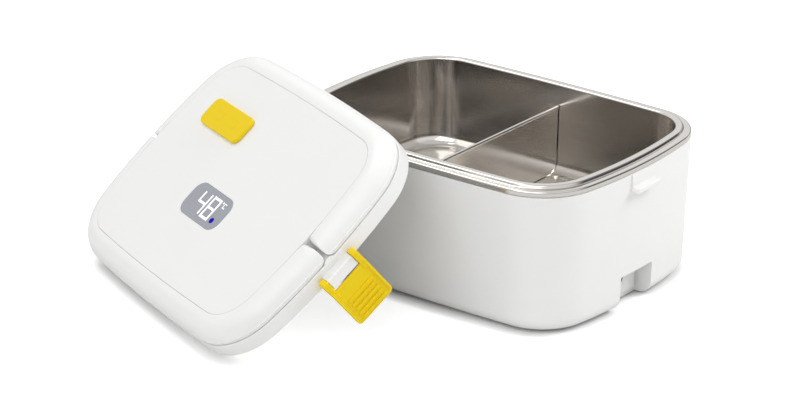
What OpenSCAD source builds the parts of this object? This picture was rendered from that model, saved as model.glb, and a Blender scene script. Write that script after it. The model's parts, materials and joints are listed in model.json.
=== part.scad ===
/* [Outline] */
// Length of base and lid along the long side, mm
body_length = 238; // [225:1:255]
// Width of base and lid along the short side, mm
body_width = 172.8; // [162:0.2:186]
// Radius of the four outline corners, mm
corner_radius = 40.6; // [37:0.2:48]
// How far each long side bows outward, mm
long_bow = 3.5; // [1.5:0.1:6]
// How far each short side bows outward, mm
short_bow = 10.7; // [5:0.1:14]

/* [Base] */
// Height of the white wall from its underside to the steel rim, mm
housing_height = 90.8; // [80:0.2:110]
// How much each wall leans in from top to bottom, mm
wall_draft = 3.8; // [1:0.1:6]
// Rounding of the bottom edge, mm
bottom_round = 9.3; // [5:0.1:11]
// Wall of the white housing, mm
housing_wall = 2.6; // [2:0.1:3.5]
// Gap between table and housing, set by the feet, mm
foot_gap = 1.1; // [0.6:0.1:4]
// Width of the strike ledge that each clip hooks under, mm
ledge_width = 24; // [16:0.5:30]
// How far the strike ledge stands out of the end wall, mm
ledge_out = 5.3; // [3:0.1:7]
// Width of the inlet recess, mm
recess_width = 33.4; // [31:0.2:44]
// Height of the inlet recess from the housing's underside, mm
recess_height = 23; // [21:0.5:30]
// Depth of the inlet recess, mm
recess_depth = 12.4; // [8:0.2:18]

/* [Tray] */
// Depth of the steel tray from rim top to floor, mm
tray_depth = 60; // [45:0.5:64]
// Sheet thickness of the tray, mm
sheet = 0.8; // [0.6:0.1:1.2]
// Distance from the outline to the tray's inner wall at the rim, mm
rim_width = 10.6; // [9:0.2:13]
// Height of the divider's top edge below the rim, mm
divider_drop = 14; // [6:0.5:25]
// Distance of the divider from the middle, mm
divider_shift = 0; // [-45:1:45]

/* [Heater and underside] */
// Distance from the heater plate's end to the end of the housing, mm
heater_end = 44; // [43:0.5:50]
// Distance from the heater plate's side to the side of the housing, mm
heater_side = 38.4; // [38:0.2:42]
// Radius of the thermostat, mm
thermostat_r = 8.4; // [7.5:0.1:8.6]
// Distance from each bottom screw to the end of the housing, mm
screw_end = 39; // [37:0.5:41]
// Distance from each bottom screw to the side of the housing, mm
screw_side = 42.4; // [41:0.2:44]
// Distance from each foot to the end of the housing, mm
foot_end = 53; // [48:0.5:60]
// Distance from each foot to the side of the housing, mm
foot_side = 36.4; // [34:0.2:40]

/* [Lid] */
// Height of the lid from its lower edge to the top, mm
lid_height = 23; // [20:0.2:32]
// Height of the lower ring under the handles, mm
ring_height = 10.1; // [9.5:0.1:14]
// Distance from the outline to the seam around the top panel, mm
seam_inset = 15.4; // [14:0.2:18]
// Radius of the handles' rounded outer edge, mm
handle_round = 11.7; // [6:0.1:12]
// Gap between the ends of the two handles, mm
handle_gap = 2.4; // [1.6:0.1:6]
// Length of the vent cap, mm
vent_length = 51; // [40:0.5:58]
// Width of the vent cap, mm
vent_width = 20.2; // [16:0.2:26]
// How far the vent cap stands above the panel, mm
vent_rise = 2.8; // [1:0.1:4]
// Length of the display window, mm
window_length = 48.4; // [44:0.2:60]
// Width of the display window, mm
window_width = 24.2; // [23:0.2:34]

/* [Clips] */
// Width of the latch clip, mm
clip_width = 29.8; // [27:0.2:40]
// Distance from the clip's pin down to its lower end, mm
clip_drop = 36.9; // [32:0.2:46]
// Thickness of the clip's plate, mm
clip_plate = 3; // [2.2:0.1:4]
// Width of the lug between the clip's ears, mm
lug_width = 20.8; // [16:0.2:24]
// Angle of the resting clips inward from their latched position, degrees
clip_rest = 3; // [0:0.5:4]

/* [Standing lid] */
// Turn of the leaning lid about the vertical, degrees
lid_turn = -23.7; // [-30:0.1:-18]
// Lean of the lid from flat, degrees
lid_lean = 39.95; // [38:0.05:46]
// Turn of the lid within its own plane, degrees
lid_spin = 1.5; // [0:0.1:3]
// Lid middle left of the base middle, mm
lid_left = 87.3; // [80:0.1:95]
// Gap between the leaning lid's inner face and the steel rim, mm
lean_gap = 0.27; // [0.2:0.01:1]

/* [Clearances] */
// Gap between pieces that move past each other, mm
gap = 0.3; // [0.2:0.05:0.5]
// Gap around a pin in its hole, mm
pin_gap = 0.15; // [0.1:0.05:0.3]

/* [Hidden] */
$fn = 48;
corner_parts = 10;
long_parts = 4;
short_parts = 6;
top_z = foot_gap + housing_height;
shoulder_z = top_z + 4;
rim_z = top_z + 6;
floor_z = rim_z - tray_depth;
under_z = floor_z - sheet;
plate_z = under_z - 0.05;
heater_length = body_length - 2 * heater_end;
heater_width = body_width - 2 * heater_side;
element_end = heater_length / 2 - 21;
screw_x = body_length / 2 - screw_end;
screw_y = body_width / 2 - screw_side;
foot_x = body_length / 2 - foot_end;
foot_y = body_width / 2 - foot_side;
lead_y = -5.5;
lead_z = foot_gap + 14.4;
long_r = pow(body_length / 2, 2) / (2 * long_bow);
short_r = pow(body_width / 2, 2) / (2 * short_bow);
end_x = body_length / 2;
side_y = body_width / 2;
fill_in = corner_radius - 10;
function corner_y(x) = side_y - long_r + sqrt(pow(long_r - corner_radius, 2) - x * x);
function corner_x(y) = end_x - short_r + sqrt(pow(short_r - corner_radius, 2) - y * y);
function settle(p, n) = n == 0 ? p : settle([corner_x(p[1]), corner_y(corner_x(p[1]))], n - 1);
corner = settle([end_x - corner_radius, side_y - corner_radius], 12);
ang_long = atan2(corner[1] - (side_y - long_r), corner[0]);
ang_short = atan2(corner[1], corner[0] - (end_x - short_r));
function wall_off(z) = -wall_draft * (1 - (z - foot_gap) / housing_height);
function arc(cx, cy, r, a0, a1, n) = [for (i = [0:n]) let(a = a0 + (a1 - a0) * i / n)
    [cx + r * cos(a), cy + r * sin(a)]];
// The lid's own directions, to find how high it must sit to touch the table
dip_x = sin(lid_lean) * sin(lid_spin);
dip_y = sin(lid_lean) * cos(lid_spin);
dip = sqrt(dip_x * dip_x + dip_y * dip_y);
ring_off = -0.5;
lid_z = dip * ((long_r - side_y) * (1 - dip_y / dip) + side_y + ring_off) + 0.02;
well_off = -8.6;
seat_z = 3.5;
post_x = end_x - 31;
post_y = side_y - 36.4;
post_ring = [[post_x, post_y], [-post_x, post_y], [post_x, -post_y], [-post_x, -post_y],
    [0, post_y + 12], [0, -post_y - 12]];
vent_at = [68.8 - end_x, side_y - 53];
window_at = [-2.9, -18.1];
pivot_y = 7.2;
pivot_z = (lid_height + ring_height + 0.4) / 2;
pivot_r = (lid_height - ring_height - 0.4) / 2;
clip_x = end_x + 3.9;
clip_z = 3.4;
ear_r = 4.1;
ear_in = lug_width / 2 + gap;
catch_low = shoulder_z - 15.8;
plate_x = end_x + ledge_out + 0.5;

// Stations round the outline, counter-clockwise: centre, radius and angle of each
function stops(cx, cy, r, a0, a1, n) = [for (i = [0:n - 1]) [cx, cy, r, a0 + (a1 - a0) * i / n]];
stations = let(e = end_x - short_r, w = side_y - long_r, c = corner, r = corner_radius, s = ang_short, g = ang_long)
    concat(stops(e, 0, short_r, -s, s, short_parts),
        stops(c[0], c[1], r, s, g, corner_parts),
        stops(0, w, long_r, g, 180 - g, long_parts),
        stops(-c[0], c[1], r, 180 - g, 180 - s, corner_parts),
        stops(-e, 0, short_r, 180 - s, 180 + s, short_parts),
        stops(-c[0], -c[1], r, 180 + s, 180 + g, corner_parts),
        stops(0, -w, long_r, 180 + g, 360 - g, long_parts),
        stops(c[0], -c[1], r, 360 - g, 360 - s, corner_parts));
turns = len(stations);
front_turns = [for (i = [turns / 2 + short_parts / 2:turns + short_parts / 2]) stations[i % turns]];

// A point at a station: p is [offset outward from the outline, height]
function place(t, p) = [t[0] + (t[2] + p[0]) * cos(t[3]), t[1] + (t[2] + p[0]) * sin(t[3]), p[1]];

// Top of the tray's rim, from the skirt over the shoulder and the bead to the basin
rim_bead = [[-0.35, top_z + 3.65], [-1.2, shoulder_z], [-4.4, shoulder_z], [-4.9, shoulder_z + 0.3],
    [-5.2, shoulder_z + 1.1], [-5.9, rim_z - 0.25], [-7, rim_z], [-rim_width + 1.7, rim_z],
    [-rim_width + 0.5, rim_z - 0.4], [-rim_width, rim_z - 1.4]];
// How far in front of the base middle the lid stands, so that its inner face leans on the rim
lid_up = [sin(lid_lean) * sin(lid_turn), -sin(lid_lean) * cos(lid_turn), cos(lid_lean)];
rim_reach = max([for (t = stations, p = rim_bead) lid_up * place(t, p)]);
lid_front = (seat_z - lean_gap - rim_reach - lid_up[0] * lid_left + lid_up[2] * lid_z) / lid_up[1];

function strip(m, n, i, j) = let(a = (i + 1) % m, b = (j + 1) % n) [i * n + j, i * n + b, a * n + b, a * n + j];

// A closed ring; the profile runs counter-clockwise, offset to the right and height up
module ring(profile) {
    n = len(profile);
    polyhedron(points = [for (t = stations, p = profile) place(t, p)],
        faces = [for (i = [0:turns - 1], j = [0:n - 1]) strip(turns, n, i, j)]);
}

// The front half of a ring, from the middle of one end wall to the middle of the other
module half_ring(profile) {
    m = len(front_turns);
    n = len(profile);
    polyhedron(points = [for (t = front_turns, p = profile) place(t, p)],
        faces = concat([for (i = [0:m - 2], j = [0:n - 1]) strip(m, n, i, j)],
            [[for (j = [n - 1:-1:0]) j], [for (j = [0:n - 1]) (m - 1) * n + j]]));
}

// A dish or block: the path runs from the middle of the underside outward and back to the middle of the top
module dish(path) {
    n = len(path);
    polyhedron(points = [for (t = stations, p = path) place(t, p)],
        faces = concat([for (i = [0:turns - 1], j = [0:n - 2]) strip(turns, n, i, j)],
            [[for (i = [0:turns - 1]) i * n], [for (i = [turns - 1:-1:0]) i * n + n - 1]]));
}

// A flat plate with the outline's shape
module slab(off, z0, z1) {
    translate([0, 0, z0])
        linear_extrude(z1 - z0)
            polygon([for (t = stations) [place(t, [off, 0])[0], place(t, [off, 0])[1]]]);
}

module round_rect(w, d, r, h) {
    linear_extrude(h) {
        square([w - 2 * r, d], center = true);
        square([w, d - 2 * r], center = true);
        for (x = [-1, 1], y = [-1, 1])
            translate([x * (w / 2 - r), y * (d / 2 - r)])
                circle(r);
    }
}

// Moves lid pieces from the lid's own frame, z up from its lower edge, to the leaning lid
module leaning() {
    translate([-lid_left, -lid_front, lid_z])
        rotate([0, 0, lid_turn])
            rotate([lid_lean, 0, 0])
                rotate([0, 0, lid_spin])
                    children();
}

// The room inside the housing's outer face
module envelope() {
    dish(concat([[-fill_in, foot_gap]], bottom_curve(0, 1), [[0, top_z], [-fill_in, top_z]]));
}

// Bottom edge of the wall, inset by the wall's thickness; way 1 runs outward, -1 back inward
function bottom_curve(inset, way) = arc(wall_off(foot_gap + bottom_round) - bottom_round,
    foot_gap + bottom_round, bottom_round - inset, -45 - 45 * way, -45 + 45 * way, 4);

module housing_wall_ring() {
    ring(concat([[-24, foot_gap]], bottom_curve(0, 1),
        [[0, top_z], [-1.4, top_z], [-1.4, top_z + 2.7], [-3.4, top_z + 2.7], [-3.4, top_z - 6],
        [-housing_wall - 0.1, top_z - 8]], bottom_curve(housing_wall, -1),
        [[-28, foot_gap + housing_wall], [-28, foot_gap + 1.5], [-24, foot_gap + 1.5]]));
}

// Raised pad and ledge on one end wall, which the clip hooks under
module strike() {
    rotate([90, 0, 0])
        translate([0, 0, -ledge_width / 2])
            linear_extrude(ledge_width)
                polygon([[end_x - 2.6, catch_low], [end_x + ledge_out - 0.3, catch_low],
                    [end_x + ledge_out, catch_low + 0.3], [end_x + ledge_out, catch_low + 2.7],
                    [end_x + ledge_out - 0.3, catch_low + 3], [end_x + 0.6, catch_low + 3],
                    [end_x + 0.2, top_z - 0.6], [end_x - 2.6, top_z - 0.6]]);
}

module recess_cut(grow, x0) {
    translate([x0, -recess_width / 2 - grow, -1])
        cube([40, recess_width + 2 * grow, recess_height + grow + foot_gap + 1]);
}

recess_x = end_x - wall_draft - recess_depth;

module housing() {
    color([0.94, 0.94, 0.93])
        difference() {
            union() {
                housing_wall_ring();
                for (m = [0, 1])
                    mirror([m, 0, 0])
                        strike();
                intersection() {
                    envelope();
                    translate([recess_x - 2, -recess_width / 2 - 2, foot_gap])
                        cube([recess_depth + 1.3, recess_width + 4, recess_height + 2]);
                }
            }
            recess_cut(0, recess_x);
            translate([recess_x - 5, -recess_width / 2 + 4.5, foot_gap + 5.5])
                cube([10, recess_width - 9, 14]);
        }
}

// White well that the tray hangs in
module inner_shell() {
    low = plate_z - 1.7;
    color([0.9, 0.9, 0.89])
        difference() {
            union() {
                dish([[-fill_in, low - 2], [well_off - 7.6, low - 2], [well_off - 2.2, low + 2.4],
                    [well_off - 0.4, low + 9.4], [well_off + 1.9, top_z + 0.6], [-3.7, top_z + 0.6],
                    [-3.7, top_z + 2.2], [well_off, top_z + 2.2], [well_off - 2.3, low + 9],
                    [well_off - 3.8, low + 3.6], [well_off - 8, low], [-fill_in, low]]);
                for (x = [-1, 1], y = [-1, 1])
                    translate([x * screw_x, y * screw_y, foot_gap + 3])
                        cylinder(r = 4, h = low - 1.5 - foot_gap - 3);
            }
            translate([0, 0, low - 3])
                round_rect(heater_length - 10, heater_width - 10, 16, 4);
            for (x = [-1, 1], y = [-1, 1])
                translate([x * screw_x, y * screw_y, foot_gap])
                    cylinder(r = 1.4, h = 18);
        }
}

module bottom_cover() {
    color([0.88, 0.88, 0.87])
        difference() {
            union() {
                slab(-24.3, foot_gap + 0.1, foot_gap + 1.4);
                for (x = [-1, 1], y = [-1, 1])
                    translate([x * screw_x, y * screw_y, foot_gap + 1])
                        cylinder(r = 5, h = 1.8);
            }
            for (x = [-1, 1], y = [-1, 1]) {
                translate([x * screw_x, y * screw_y, 0])
                    cylinder(r = 1.8, h = 10);
                translate([x * screw_x, y * screw_y, 0])
                    cylinder(r = 3.4, h = foot_gap + 1.1);
                translate([x * foot_x, y * foot_y, 0])
                    cylinder(r = 2.2, h = 10);
            }
            for (i = [-3:3])
                translate([i * 9 - 1.5, -16, 0])
                    cube([3, 32, 10]);
        }
}

module feet() {
    color([0.25, 0.25, 0.26])
        for (x = [-1, 1], y = [-1, 1])
            translate([x * foot_x, y * foot_y, 0]) {
                cylinder(r = 6, h = foot_gap);
                cylinder(r = 2, h = foot_gap + 2.4);
                translate([0, 0, foot_gap + 1.6])
                    cylinder(r = 3, h = 1);
            }
}

module bottom_screws() {
    color([0.7, 0.7, 0.72])
        for (x = [-1, 1], y = [-1, 1])
            translate([x * screw_x, y * screw_y, foot_gap])
                difference() {
                    union() {
                        translate([0, 0, 0.1])
                            cylinder(r = 3, h = 0.9);
                        translate([0, 0, 0.9])
                            cylinder(r = 1.3, h = 13);
                    }
                    translate([-2, -0.4, -0.2])
                        cube([4, 0.8, 0.7]);
                    translate([-0.4, -2, -0.2])
                        cube([0.8, 4, 0.7]);
                }
}

module heater_plate() {
    color([0.78, 0.78, 0.8])
        union() {
            translate([0, 0, plate_z - 1.4])
                round_rect(heater_length, heater_width, 20, 1.4);
            translate([0, 0, plate_z - 3.4])
                round_rect(heater_length - 12, heater_width - 12, 15, 2.2);
        }
}

module heating_element() {
    color([0.55, 0.5, 0.45])
        translate([0, 0, plate_z - 7.5])
            difference() {
                round_rect(2 * element_end, heater_width - 34, 22, 4);
                translate([0, 0, -1])
                    round_rect(2 * (element_end - 24), 2 * (thermostat_r + 3.6), 10, 6);
            }
}

module element_bracket() {
    bracket_end = heater_length / 2 - 13;
    color([0.72, 0.72, 0.74])
        difference() {
            union() {
                translate([-bracket_end, -6, plate_z - 8.6])
                    cube([2 * bracket_end, 12, 1]);
                for (m = [0, 1])
                    mirror([m, 0, 0])
                        translate([bracket_end - 6, -6, plate_z - 8.6])
                            cube([6, 12, 5.1]);
            }
            translate([0, 0, plate_z - 12])
                cylinder(r = thermostat_r + 2 * gap, h = 6);
        }
}

module thermostat() {
    color([0.3, 0.26, 0.22])
        translate([0, 0, plate_z - 12]) {
            cylinder(r = thermostat_r, h = 6.5);
            translate([0, 0, 6])
                cylinder(r = 6, h = 2.5);
            for (x = [-1, 1])
                translate([x * 5 - 0.4, -3, -5])
                    cube([0.8, 6, 6]);
        }
}

module thermal_fuse() {
    color([0.85, 0.82, 0.7])
        translate([16 - element_end, 0, plate_z - 11])
            rotate([90, 0, 0]) {
                translate([0, 0, -7])
                    cylinder(r = 2.1, h = 14);
                translate([0, 0, -14])
                    cylinder(r = 0.6, h = 28);
            }
}

// Two supply leads from the inlet, one to the thermostat and one to the heating element
module supply_leads() {
    ends = [[6.6, lead_y + 4.3, plate_z - 12], [element_end - 12, lead_y - 4.3, plate_z - 7.5]];
    color([0.75, 0.2, 0.15])
        for (p = ends)
            translate([p[0], p[1], lead_z]) {
                rotate([0, 90, 0])
                    cylinder(r = 1.2, h = recess_x - 13 - p[0]);
                sphere(r = 1.2);
                cylinder(r = 1.2, h = p[2] - lead_z);
            }
}

module socket_cavity(grow, x0, len) {
    translate([x0, lead_y, lead_z])
        rotate([90, 0, 90])
            linear_extrude(len) {
                for (y = [-1, 1])
                    translate([y * 3.6, 0])
                        circle(3.9 + grow);
                square([7.2, 2 * (3.3 + grow)], center = true);
            }
}

module inlet_socket() {
    color([0.9, 0.9, 0.9])
        difference() {
            union() {
                translate([recess_x + 0.1, -recess_width / 2 + 2.9, foot_gap + 3.4])
                    cube([1.3, recess_width - 5.8, 18]);
                translate([recess_x - 12, -recess_width / 2 + 5, foot_gap + 6])
                    cube([13, recess_width - 10, 13]);
            }
            socket_cavity(0, recess_x - 9, 20);
            for (y = [-1, 1])
                translate([recess_x - 14, y * 4.3 + lead_y, lead_z])
                    rotate([0, 90, 0])
                        cylinder(r = 1.3, h = 8);
        }
}

module inlet_pins() {
    color([0.75, 0.75, 0.77])
        for (y = [-1, 1])
            translate([recess_x - 12.6, y * 4.3 + lead_y, lead_z])
                rotate([0, 90, 0])
                    cylinder(r = 1.2, h = 12);
}

// Steel tray: skirt, shoulder, raised bead, basin
module tray() {
    t = sheet;
    in_low = -rim_width - 10.4;
    color([0.8, 0.79, 0.77])
        dish(concat([[-fill_in, floor_z - t]], arc(in_low, floor_z + 8, 8 + t, -90, 0, 4),
            [[-rim_width + t, rim_z - 1.6], [-rim_width + 1.6, rim_z - t],
            [-6.9, rim_z - t], [-6.1, rim_z - 1.2], [-5.8, shoulder_z + 0.6], [-5.2, shoulder_z - t],
            [-1.4, shoulder_z - t], [-t - 0.1, top_z + 2.6], [-t, top_z + 0.3],
            [0, top_z + 0.3], [0, top_z + 2.8]],
            rim_bead, arc(in_low, floor_z + 8, 8, 0, -90, 4), [[-fill_in, floor_z]]));
}

// Bent-sheet divider with a rolled top edge, end tabs and a foot
module divider() {
    zt = rim_z - divider_drop;
    yt = side_y - rim_width - 1.2;
    yb = yt - 2;
    color([0.8, 0.79, 0.77])
        translate([divider_shift, 0, 0])
            union() {
                translate([-0.5, 0, 0])
                    rotate([90, 0, 90])
                        linear_extrude(1)
                            polygon([[-yt, zt - 1], [-yb, floor_z + 9], [-yb + 2.4, floor_z + 3.6],
                                [-yb + 8, floor_z + 0.4], [yb - 8, floor_z + 0.4], [yb - 2.4, floor_z + 3.6],
                                [yb, floor_z + 9], [yt, zt - 1]]);
                translate([0, yt, zt - 1.2])
                    rotate([90, 0, 0])
                        cylinder(r = 1.2, h = 2 * yt);
                for (m = [0, 1])
                    mirror([0, m, 0])
                        translate([-7.5, 0, 0])
                            rotate([90, 0, 90])
                                linear_extrude(7.6)
                                    polygon([[yt, zt - 1], [yt - 0.8, zt - 1], [yb - 0.4, floor_z + 14],
                                        [yb + 0.3, floor_z + 14]]);
                translate([-7.5, -yb + 9, floor_z + 0.3])
                    cube([8, 2 * yb - 18, 0.8]);
            }
}

// Lower shell of the lid: skirt, gasket channel, shelf for the handles, wall under the top panel
module lid_ring() {
    si = -seam_inset - 0.1;
    color([0.94, 0.94, 0.93])
        leaning()
            difference() {
                union() {
                    ring([[ring_off, 0], [ring_off, ring_height - 0.4],
                        [ring_off - 0.4, ring_height], [si, ring_height], [si, lid_height - 2.6],
                        [si - 2.2, lid_height - 2.6], [si - 2.2, seat_z + 1.9], [-14.4, seat_z + 1.9],
                        [-14.4, 3.4], [-12.6, 3.4], [-12.6, 7.9], [-4.6, 7.9], [-4.6, 0]]);
                    for (m = [0, 1])
                        mirror([m, 0, 0]) {
                            rotate([90, 0, 0])
                                translate([0, 0, -lug_width / 2])
                                    linear_extrude(lug_width)
                                        polygon([[end_x - 2, 0.6], [end_x + 0.4, 0.6], [end_x + 0.4, -1.8],
                                            [end_x + 5.6, -1.8], [end_x + 7.1, -1.2], [end_x + 7.2, -0.7],
                                            [end_x + 6.1, 4.6], [end_x + 5.4, 5.4], [end_x - 2, 5.8]]);
                            rotate([90, 0, 90])
                                translate([0, 0, end_x - seam_inset])
                                    linear_extrude(seam_inset - 0.9)
                                        polygon([[-4.4, ring_height - 0.2], [4.4, ring_height - 0.2],
                                            [1.5, ring_height + 1.7], [-1.5, ring_height + 1.7]]);
                        }
                }
                for (m = [0, 1])
                    mirror([m, 0, 0]) {
                        translate([clip_x, lug_width, clip_z])
                            rotate([90, 0, 0])
                                cylinder(r = 1.2 + pin_gap, h = 2 * lug_width);
                        for (y = [-1, 1])
                            translate([end_x - seam_inset - 6, y * pivot_y, pivot_z])
                                rotate([0, 90, 0])
                                    cylinder(r = 2.1, h = 8);
                    }
            }
}

// The front one of two U-shaped carry handles, in the lid's frame
module handle_shape() {
    top_off = ring_off - handle_round;
    low = ring_height + 0.4;
    tip = handle_gap / 2;
    difference() {
        intersection() {
            half_ring(concat([[-seam_inset + 0.4, low], [ring_off - 0.9, low],
                [ring_off - 0.25, low + 2.7], [ring_off - 0.5, low + 3]],
                arc(top_off - 0.3, lid_height - handle_round, handle_round, 10, 90, 8),
                [[-seam_inset + 0.9, lid_height], [-seam_inset + 0.4, lid_height - 0.6]]));
            translate([-end_x - 5, 0, 0])
                rotate([90, 0, 90])
                    linear_extrude(2 * end_x + 10) {
                        translate([-body_width, 0])
                            square([body_width - pivot_y, 60]);
                        translate([-pivot_y, pivot_z])
                            circle(pivot_r);
                        translate([-tip - 4, lid_height - 4])
                            circle(4);
                        translate([-pivot_y - 2, pivot_z])
                            square([pivot_y - tip - 2, pivot_r]);
                        translate([-pivot_y - 2, pivot_z])
                            square([pivot_y - tip + 2, pivot_r - 4]);
                    }
        }
        for (m = [0, 1])
            mirror([m, 0, 0]) {
                translate([end_x - seam_inset - 4, -pivot_y, pivot_z])
                    rotate([0, 90, 0])
                        cylinder(r = 2 + pin_gap, h = 10.6);
                translate([end_x - seam_inset, 0, low - 1])
                    linear_extrude(lid_height)
                        polygon([[0, 0], [0, -tip - 2.6], [1.6, -tip - 1.2], [4.6, -tip], [4.6, 0]]);
            }
    }
}

module handle_front() {
    color([0.95, 0.95, 0.94])
        leaning()
            handle_shape();
}

module handle_rear() {
    color([0.95, 0.95, 0.94])
        leaning()
            mirror([0, 1, 0])
                handle_shape();
}

module handle_pins() {
    color([0.7, 0.7, 0.72])
        leaning()
            for (m = [0, 1])
                mirror([m, 0, 0])
                    for (y = [-1, 1])
                        translate([end_x - seam_inset - 4.6, y * pivot_y, pivot_z])
                            rotate([0, 90, 0]) {
                                cylinder(r = 3.4, h = 1.8);
                                cylinder(r = 2, h = 10.6);
                            }
}

// Flush top panel with the vent tube and screw posts on its underside
module top_panel() {
    z0 = lid_height - 2.4;
    color([0.95, 0.95, 0.94])
        leaning()
            difference() {
                union() {
                    slab(-seam_inset, z0, lid_height - 0.4);
                    slab(-seam_inset - 0.4, z0, lid_height);
                    translate([vent_at[0], vent_at[1], seat_z + 2])
                        round_rect(38, 15, 5, z0 - seat_z - 1.5);
                    for (p = post_ring)
                        translate([p[0], p[1], seat_z + 2])
                            cylinder(r = 3.4, h = z0 - seat_z - 1.5);
                }
                translate([vent_at[0], vent_at[1], 0])
                    round_rect(32.8, 9.8, 3, 40);
                translate([window_at[0], window_at[1], lid_height - 1.7])
                    round_rect(window_length + 0.3, window_width + 0.3, 8, 4);
                translate([window_at[0], window_at[1], 0])
                    round_rect(window_length - 5, window_width - 4, 5, 40);
                for (p = post_ring)
                    translate([p[0], p[1], seat_z])
                        cylinder(r = 1.3, h = 11);
            }
}

module inner_plate() {
    color([0.9, 0.9, 0.9])
        leaning()
            difference() {
                slab(-14.8, seat_z, seat_z + 1.7);
                for (p = post_ring) {
                    translate([p[0], p[1], 0])
                        cylinder(r = 1.6, h = 20);
                    translate([p[0], p[1], 0])
                        cylinder(r = 3.2, h = seat_z + 1.1);
                }
                for (i = [-1:1])
                    translate([vent_at[0] + i * 8, vent_at[1], 0])
                        cylinder(r = 2.4, h = 20);
                translate([30, 10, 0])
                    cylinder(r = 3.1, h = 20);
            }
}

module gasket() {
    color([0.82, 0.83, 0.84])
        leaning()
            ring([[-4.8, 5.2], [-4.8, 7.7], [-12.4, 7.7], [-12.4, 5.2], [-9.8, 4.6], [-9.3, 1.9],
                [-7.3, 1.9], [-6.9, 4.6]]);
}

module lid_screws() {
    color([0.7, 0.7, 0.72])
        leaning()
            for (p = post_ring)
                translate([p[0], p[1], seat_z])
                    difference() {
                        union() {
                            translate([0, 0, 0.1])
                                cylinder(r = 2.9, h = 0.9);
                            translate([0, 0, 0.9])
                                cylinder(r = 1.2, h = 8.6);
                        }
                        translate([-2, -0.4, -0.2])
                            cube([4, 0.8, 0.7]);
                        translate([-0.4, -2, -0.2])
                            cube([0.8, 4, 0.7]);
                    }
}

// A latch clip in its latched place at the +X end of the lid: ears, plate, ribs, hook
module clip_shape() {
    end_z = clip_z - clip_drop;
    plate_top = -2.3;
    difference() {
        union() {
            for (m = [0, 1])
                mirror([0, m, 0]) {
                    translate([clip_x, ear_in, clip_z])
                        rotate([-90, 0, 0])
                            cylinder(r = ear_r, h = clip_width / 2 - 0.5 - ear_in);
                    translate([clip_x - 0.5, ear_in, plate_top - 6])
                        cube([ear_r + 0.5, clip_width / 2 - 0.5 - ear_in, clip_z - plate_top + 6]);
                }
            translate([plate_x, 0, 0])
                rotate([90, 0, 90])
                    linear_extrude(clip_plate) {
                        translate([0, (end_z + 3 + plate_top) / 2])
                            square([clip_width, plate_top - end_z - 3], center = true);
                        translate([0, end_z + 2])
                            square([clip_width - 6, 4], center = true);
                        for (y = [-1, 1])
                            translate([y * (clip_width / 2 - 3), end_z + 3])
                                circle(3);
                    }
            for (i = [0:4])
                translate([plate_x + clip_plate - 0.2, -10.4, -14.7 - i * 3.9])
                    rotate([-90, 0, 0])
                        cylinder(r = 0.9, h = 20.6);
            for (y = [-1, 1])
                translate([plate_x + clip_plate - 0.55, y * (clip_width / 2 - 1.2), end_z + 3])
                    cylinder(r = 1, h = plate_top - end_z - 3);
            rotate([90, 0, 0])
                translate([0, 0, -9])
                    linear_extrude(18)
                        polygon([[plate_x + 1, -19.4], [plate_x - 2, -18.8], [plate_x - 4, -17.4],
                            [plate_x - 4, -16.3], [plate_x + 1, -16.3]]);
        }
        translate([clip_x, clip_width, clip_z])
            rotate([90, 0, 0])
                cylinder(r = 1.2 + pin_gap, h = 2 * clip_width);
    }
}

module hung_clip() {
    translate([clip_x, 0, clip_z])
        rotate([0, clip_rest, 0])
            translate([-clip_x, 0, -clip_z])
                clip_shape();
}

module clip_near() {
    color([0.93, 0.8, 0.1])
        leaning()
            hung_clip();
}

module clip_far() {
    color([0.93, 0.8, 0.1])
        leaning()
            mirror([1, 0, 0])
                hung_clip();
}

module clip_pins() {
    color([0.7, 0.7, 0.72])
        leaning()
            for (m = [0, 1])
                mirror([m, 0, 0])
                    translate([clip_x, clip_width / 2 - 0.6, clip_z])
                        rotate([90, 0, 0])
                            cylinder(r = 1.2, h = clip_width - 1.2);
}

// Soft cap with a plug that closes the steam vent
module vent_cap() {
    color([0.93, 0.8, 0.1])
        leaning()
            translate([vent_at[0], vent_at[1], lid_height + 0.05]) {
                round_rect(vent_length, vent_width, 5, vent_rise - 0.8);
                translate([0, 0, vent_rise - 0.8])
                    round_rect(vent_length - 0.7, vent_width - 0.7, 4.7, 0.5);
                translate([0, 0, vent_rise - 0.3])
                    round_rect(vent_length - 2, vent_width - 2, 4, 0.3);
                for (x = [-1, 1])
                    translate([x * vent_length * 0.18, 0, vent_rise - 0.1])
                        round_rect(9, 6, 2.9, 0.3);
                translate([0, 0, -6])
                    round_rect(31.6, 8.6, 2.6, 6.2);
            }
}

module segment(x, y, w, d) {
    translate([x, y])
        square([w, d], center = true);
}

// Figures 4 and 8, a ring and a C, as flat shapes
module figures(grow) {
    translate([window_at[0], window_at[1]]) {
        segment(-11.1, 4, 1.6 + grow, 7.4 + grow);
        segment(-7, 0.3, 9.8 + grow, 1.7 + grow);
        segment(-2.6, 0.3, 1.6 + grow, 15.2 + grow);
        segment(1.3, 0.3, 1.8 + grow, 16.4 + grow);
        segment(9.6, 0.3, 1.8 + grow, 16.4 + grow);
        segment(5.4, 7.6, 8.4 + grow, 1.8 + grow);
        segment(5.4, 0.3, 8.4 + grow, 1.7 + grow);
        segment(5.4, -7, 8.4 + grow, 1.8 + grow);
        translate([12.7, 7.6])
            circle(0.8 + grow / 2);
        segment(14.6, 6.2, 0.8 + grow, 3.8 + grow);
        segment(15.8, 7.7, 2.6 + grow, 0.8 + grow);
        segment(15.8, 4.7, 2.6 + grow, 0.8 + grow);
    }
}

module display_window() {
    color([0.63, 0.64, 0.67])
        leaning()
            difference() {
                translate([window_at[0], window_at[1], lid_height - 1.6])
                    round_rect(window_length, window_width, 7.8, 1.55);
                translate([0, 0, lid_height - 0.5])
                    linear_extrude(2)
                        figures(0.1);
                translate([window_at[0] + 15.2, window_at[1] - 5.6, lid_height - 0.5])
                    cylinder(r = 2.1, h = 2);
            }
}

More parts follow.
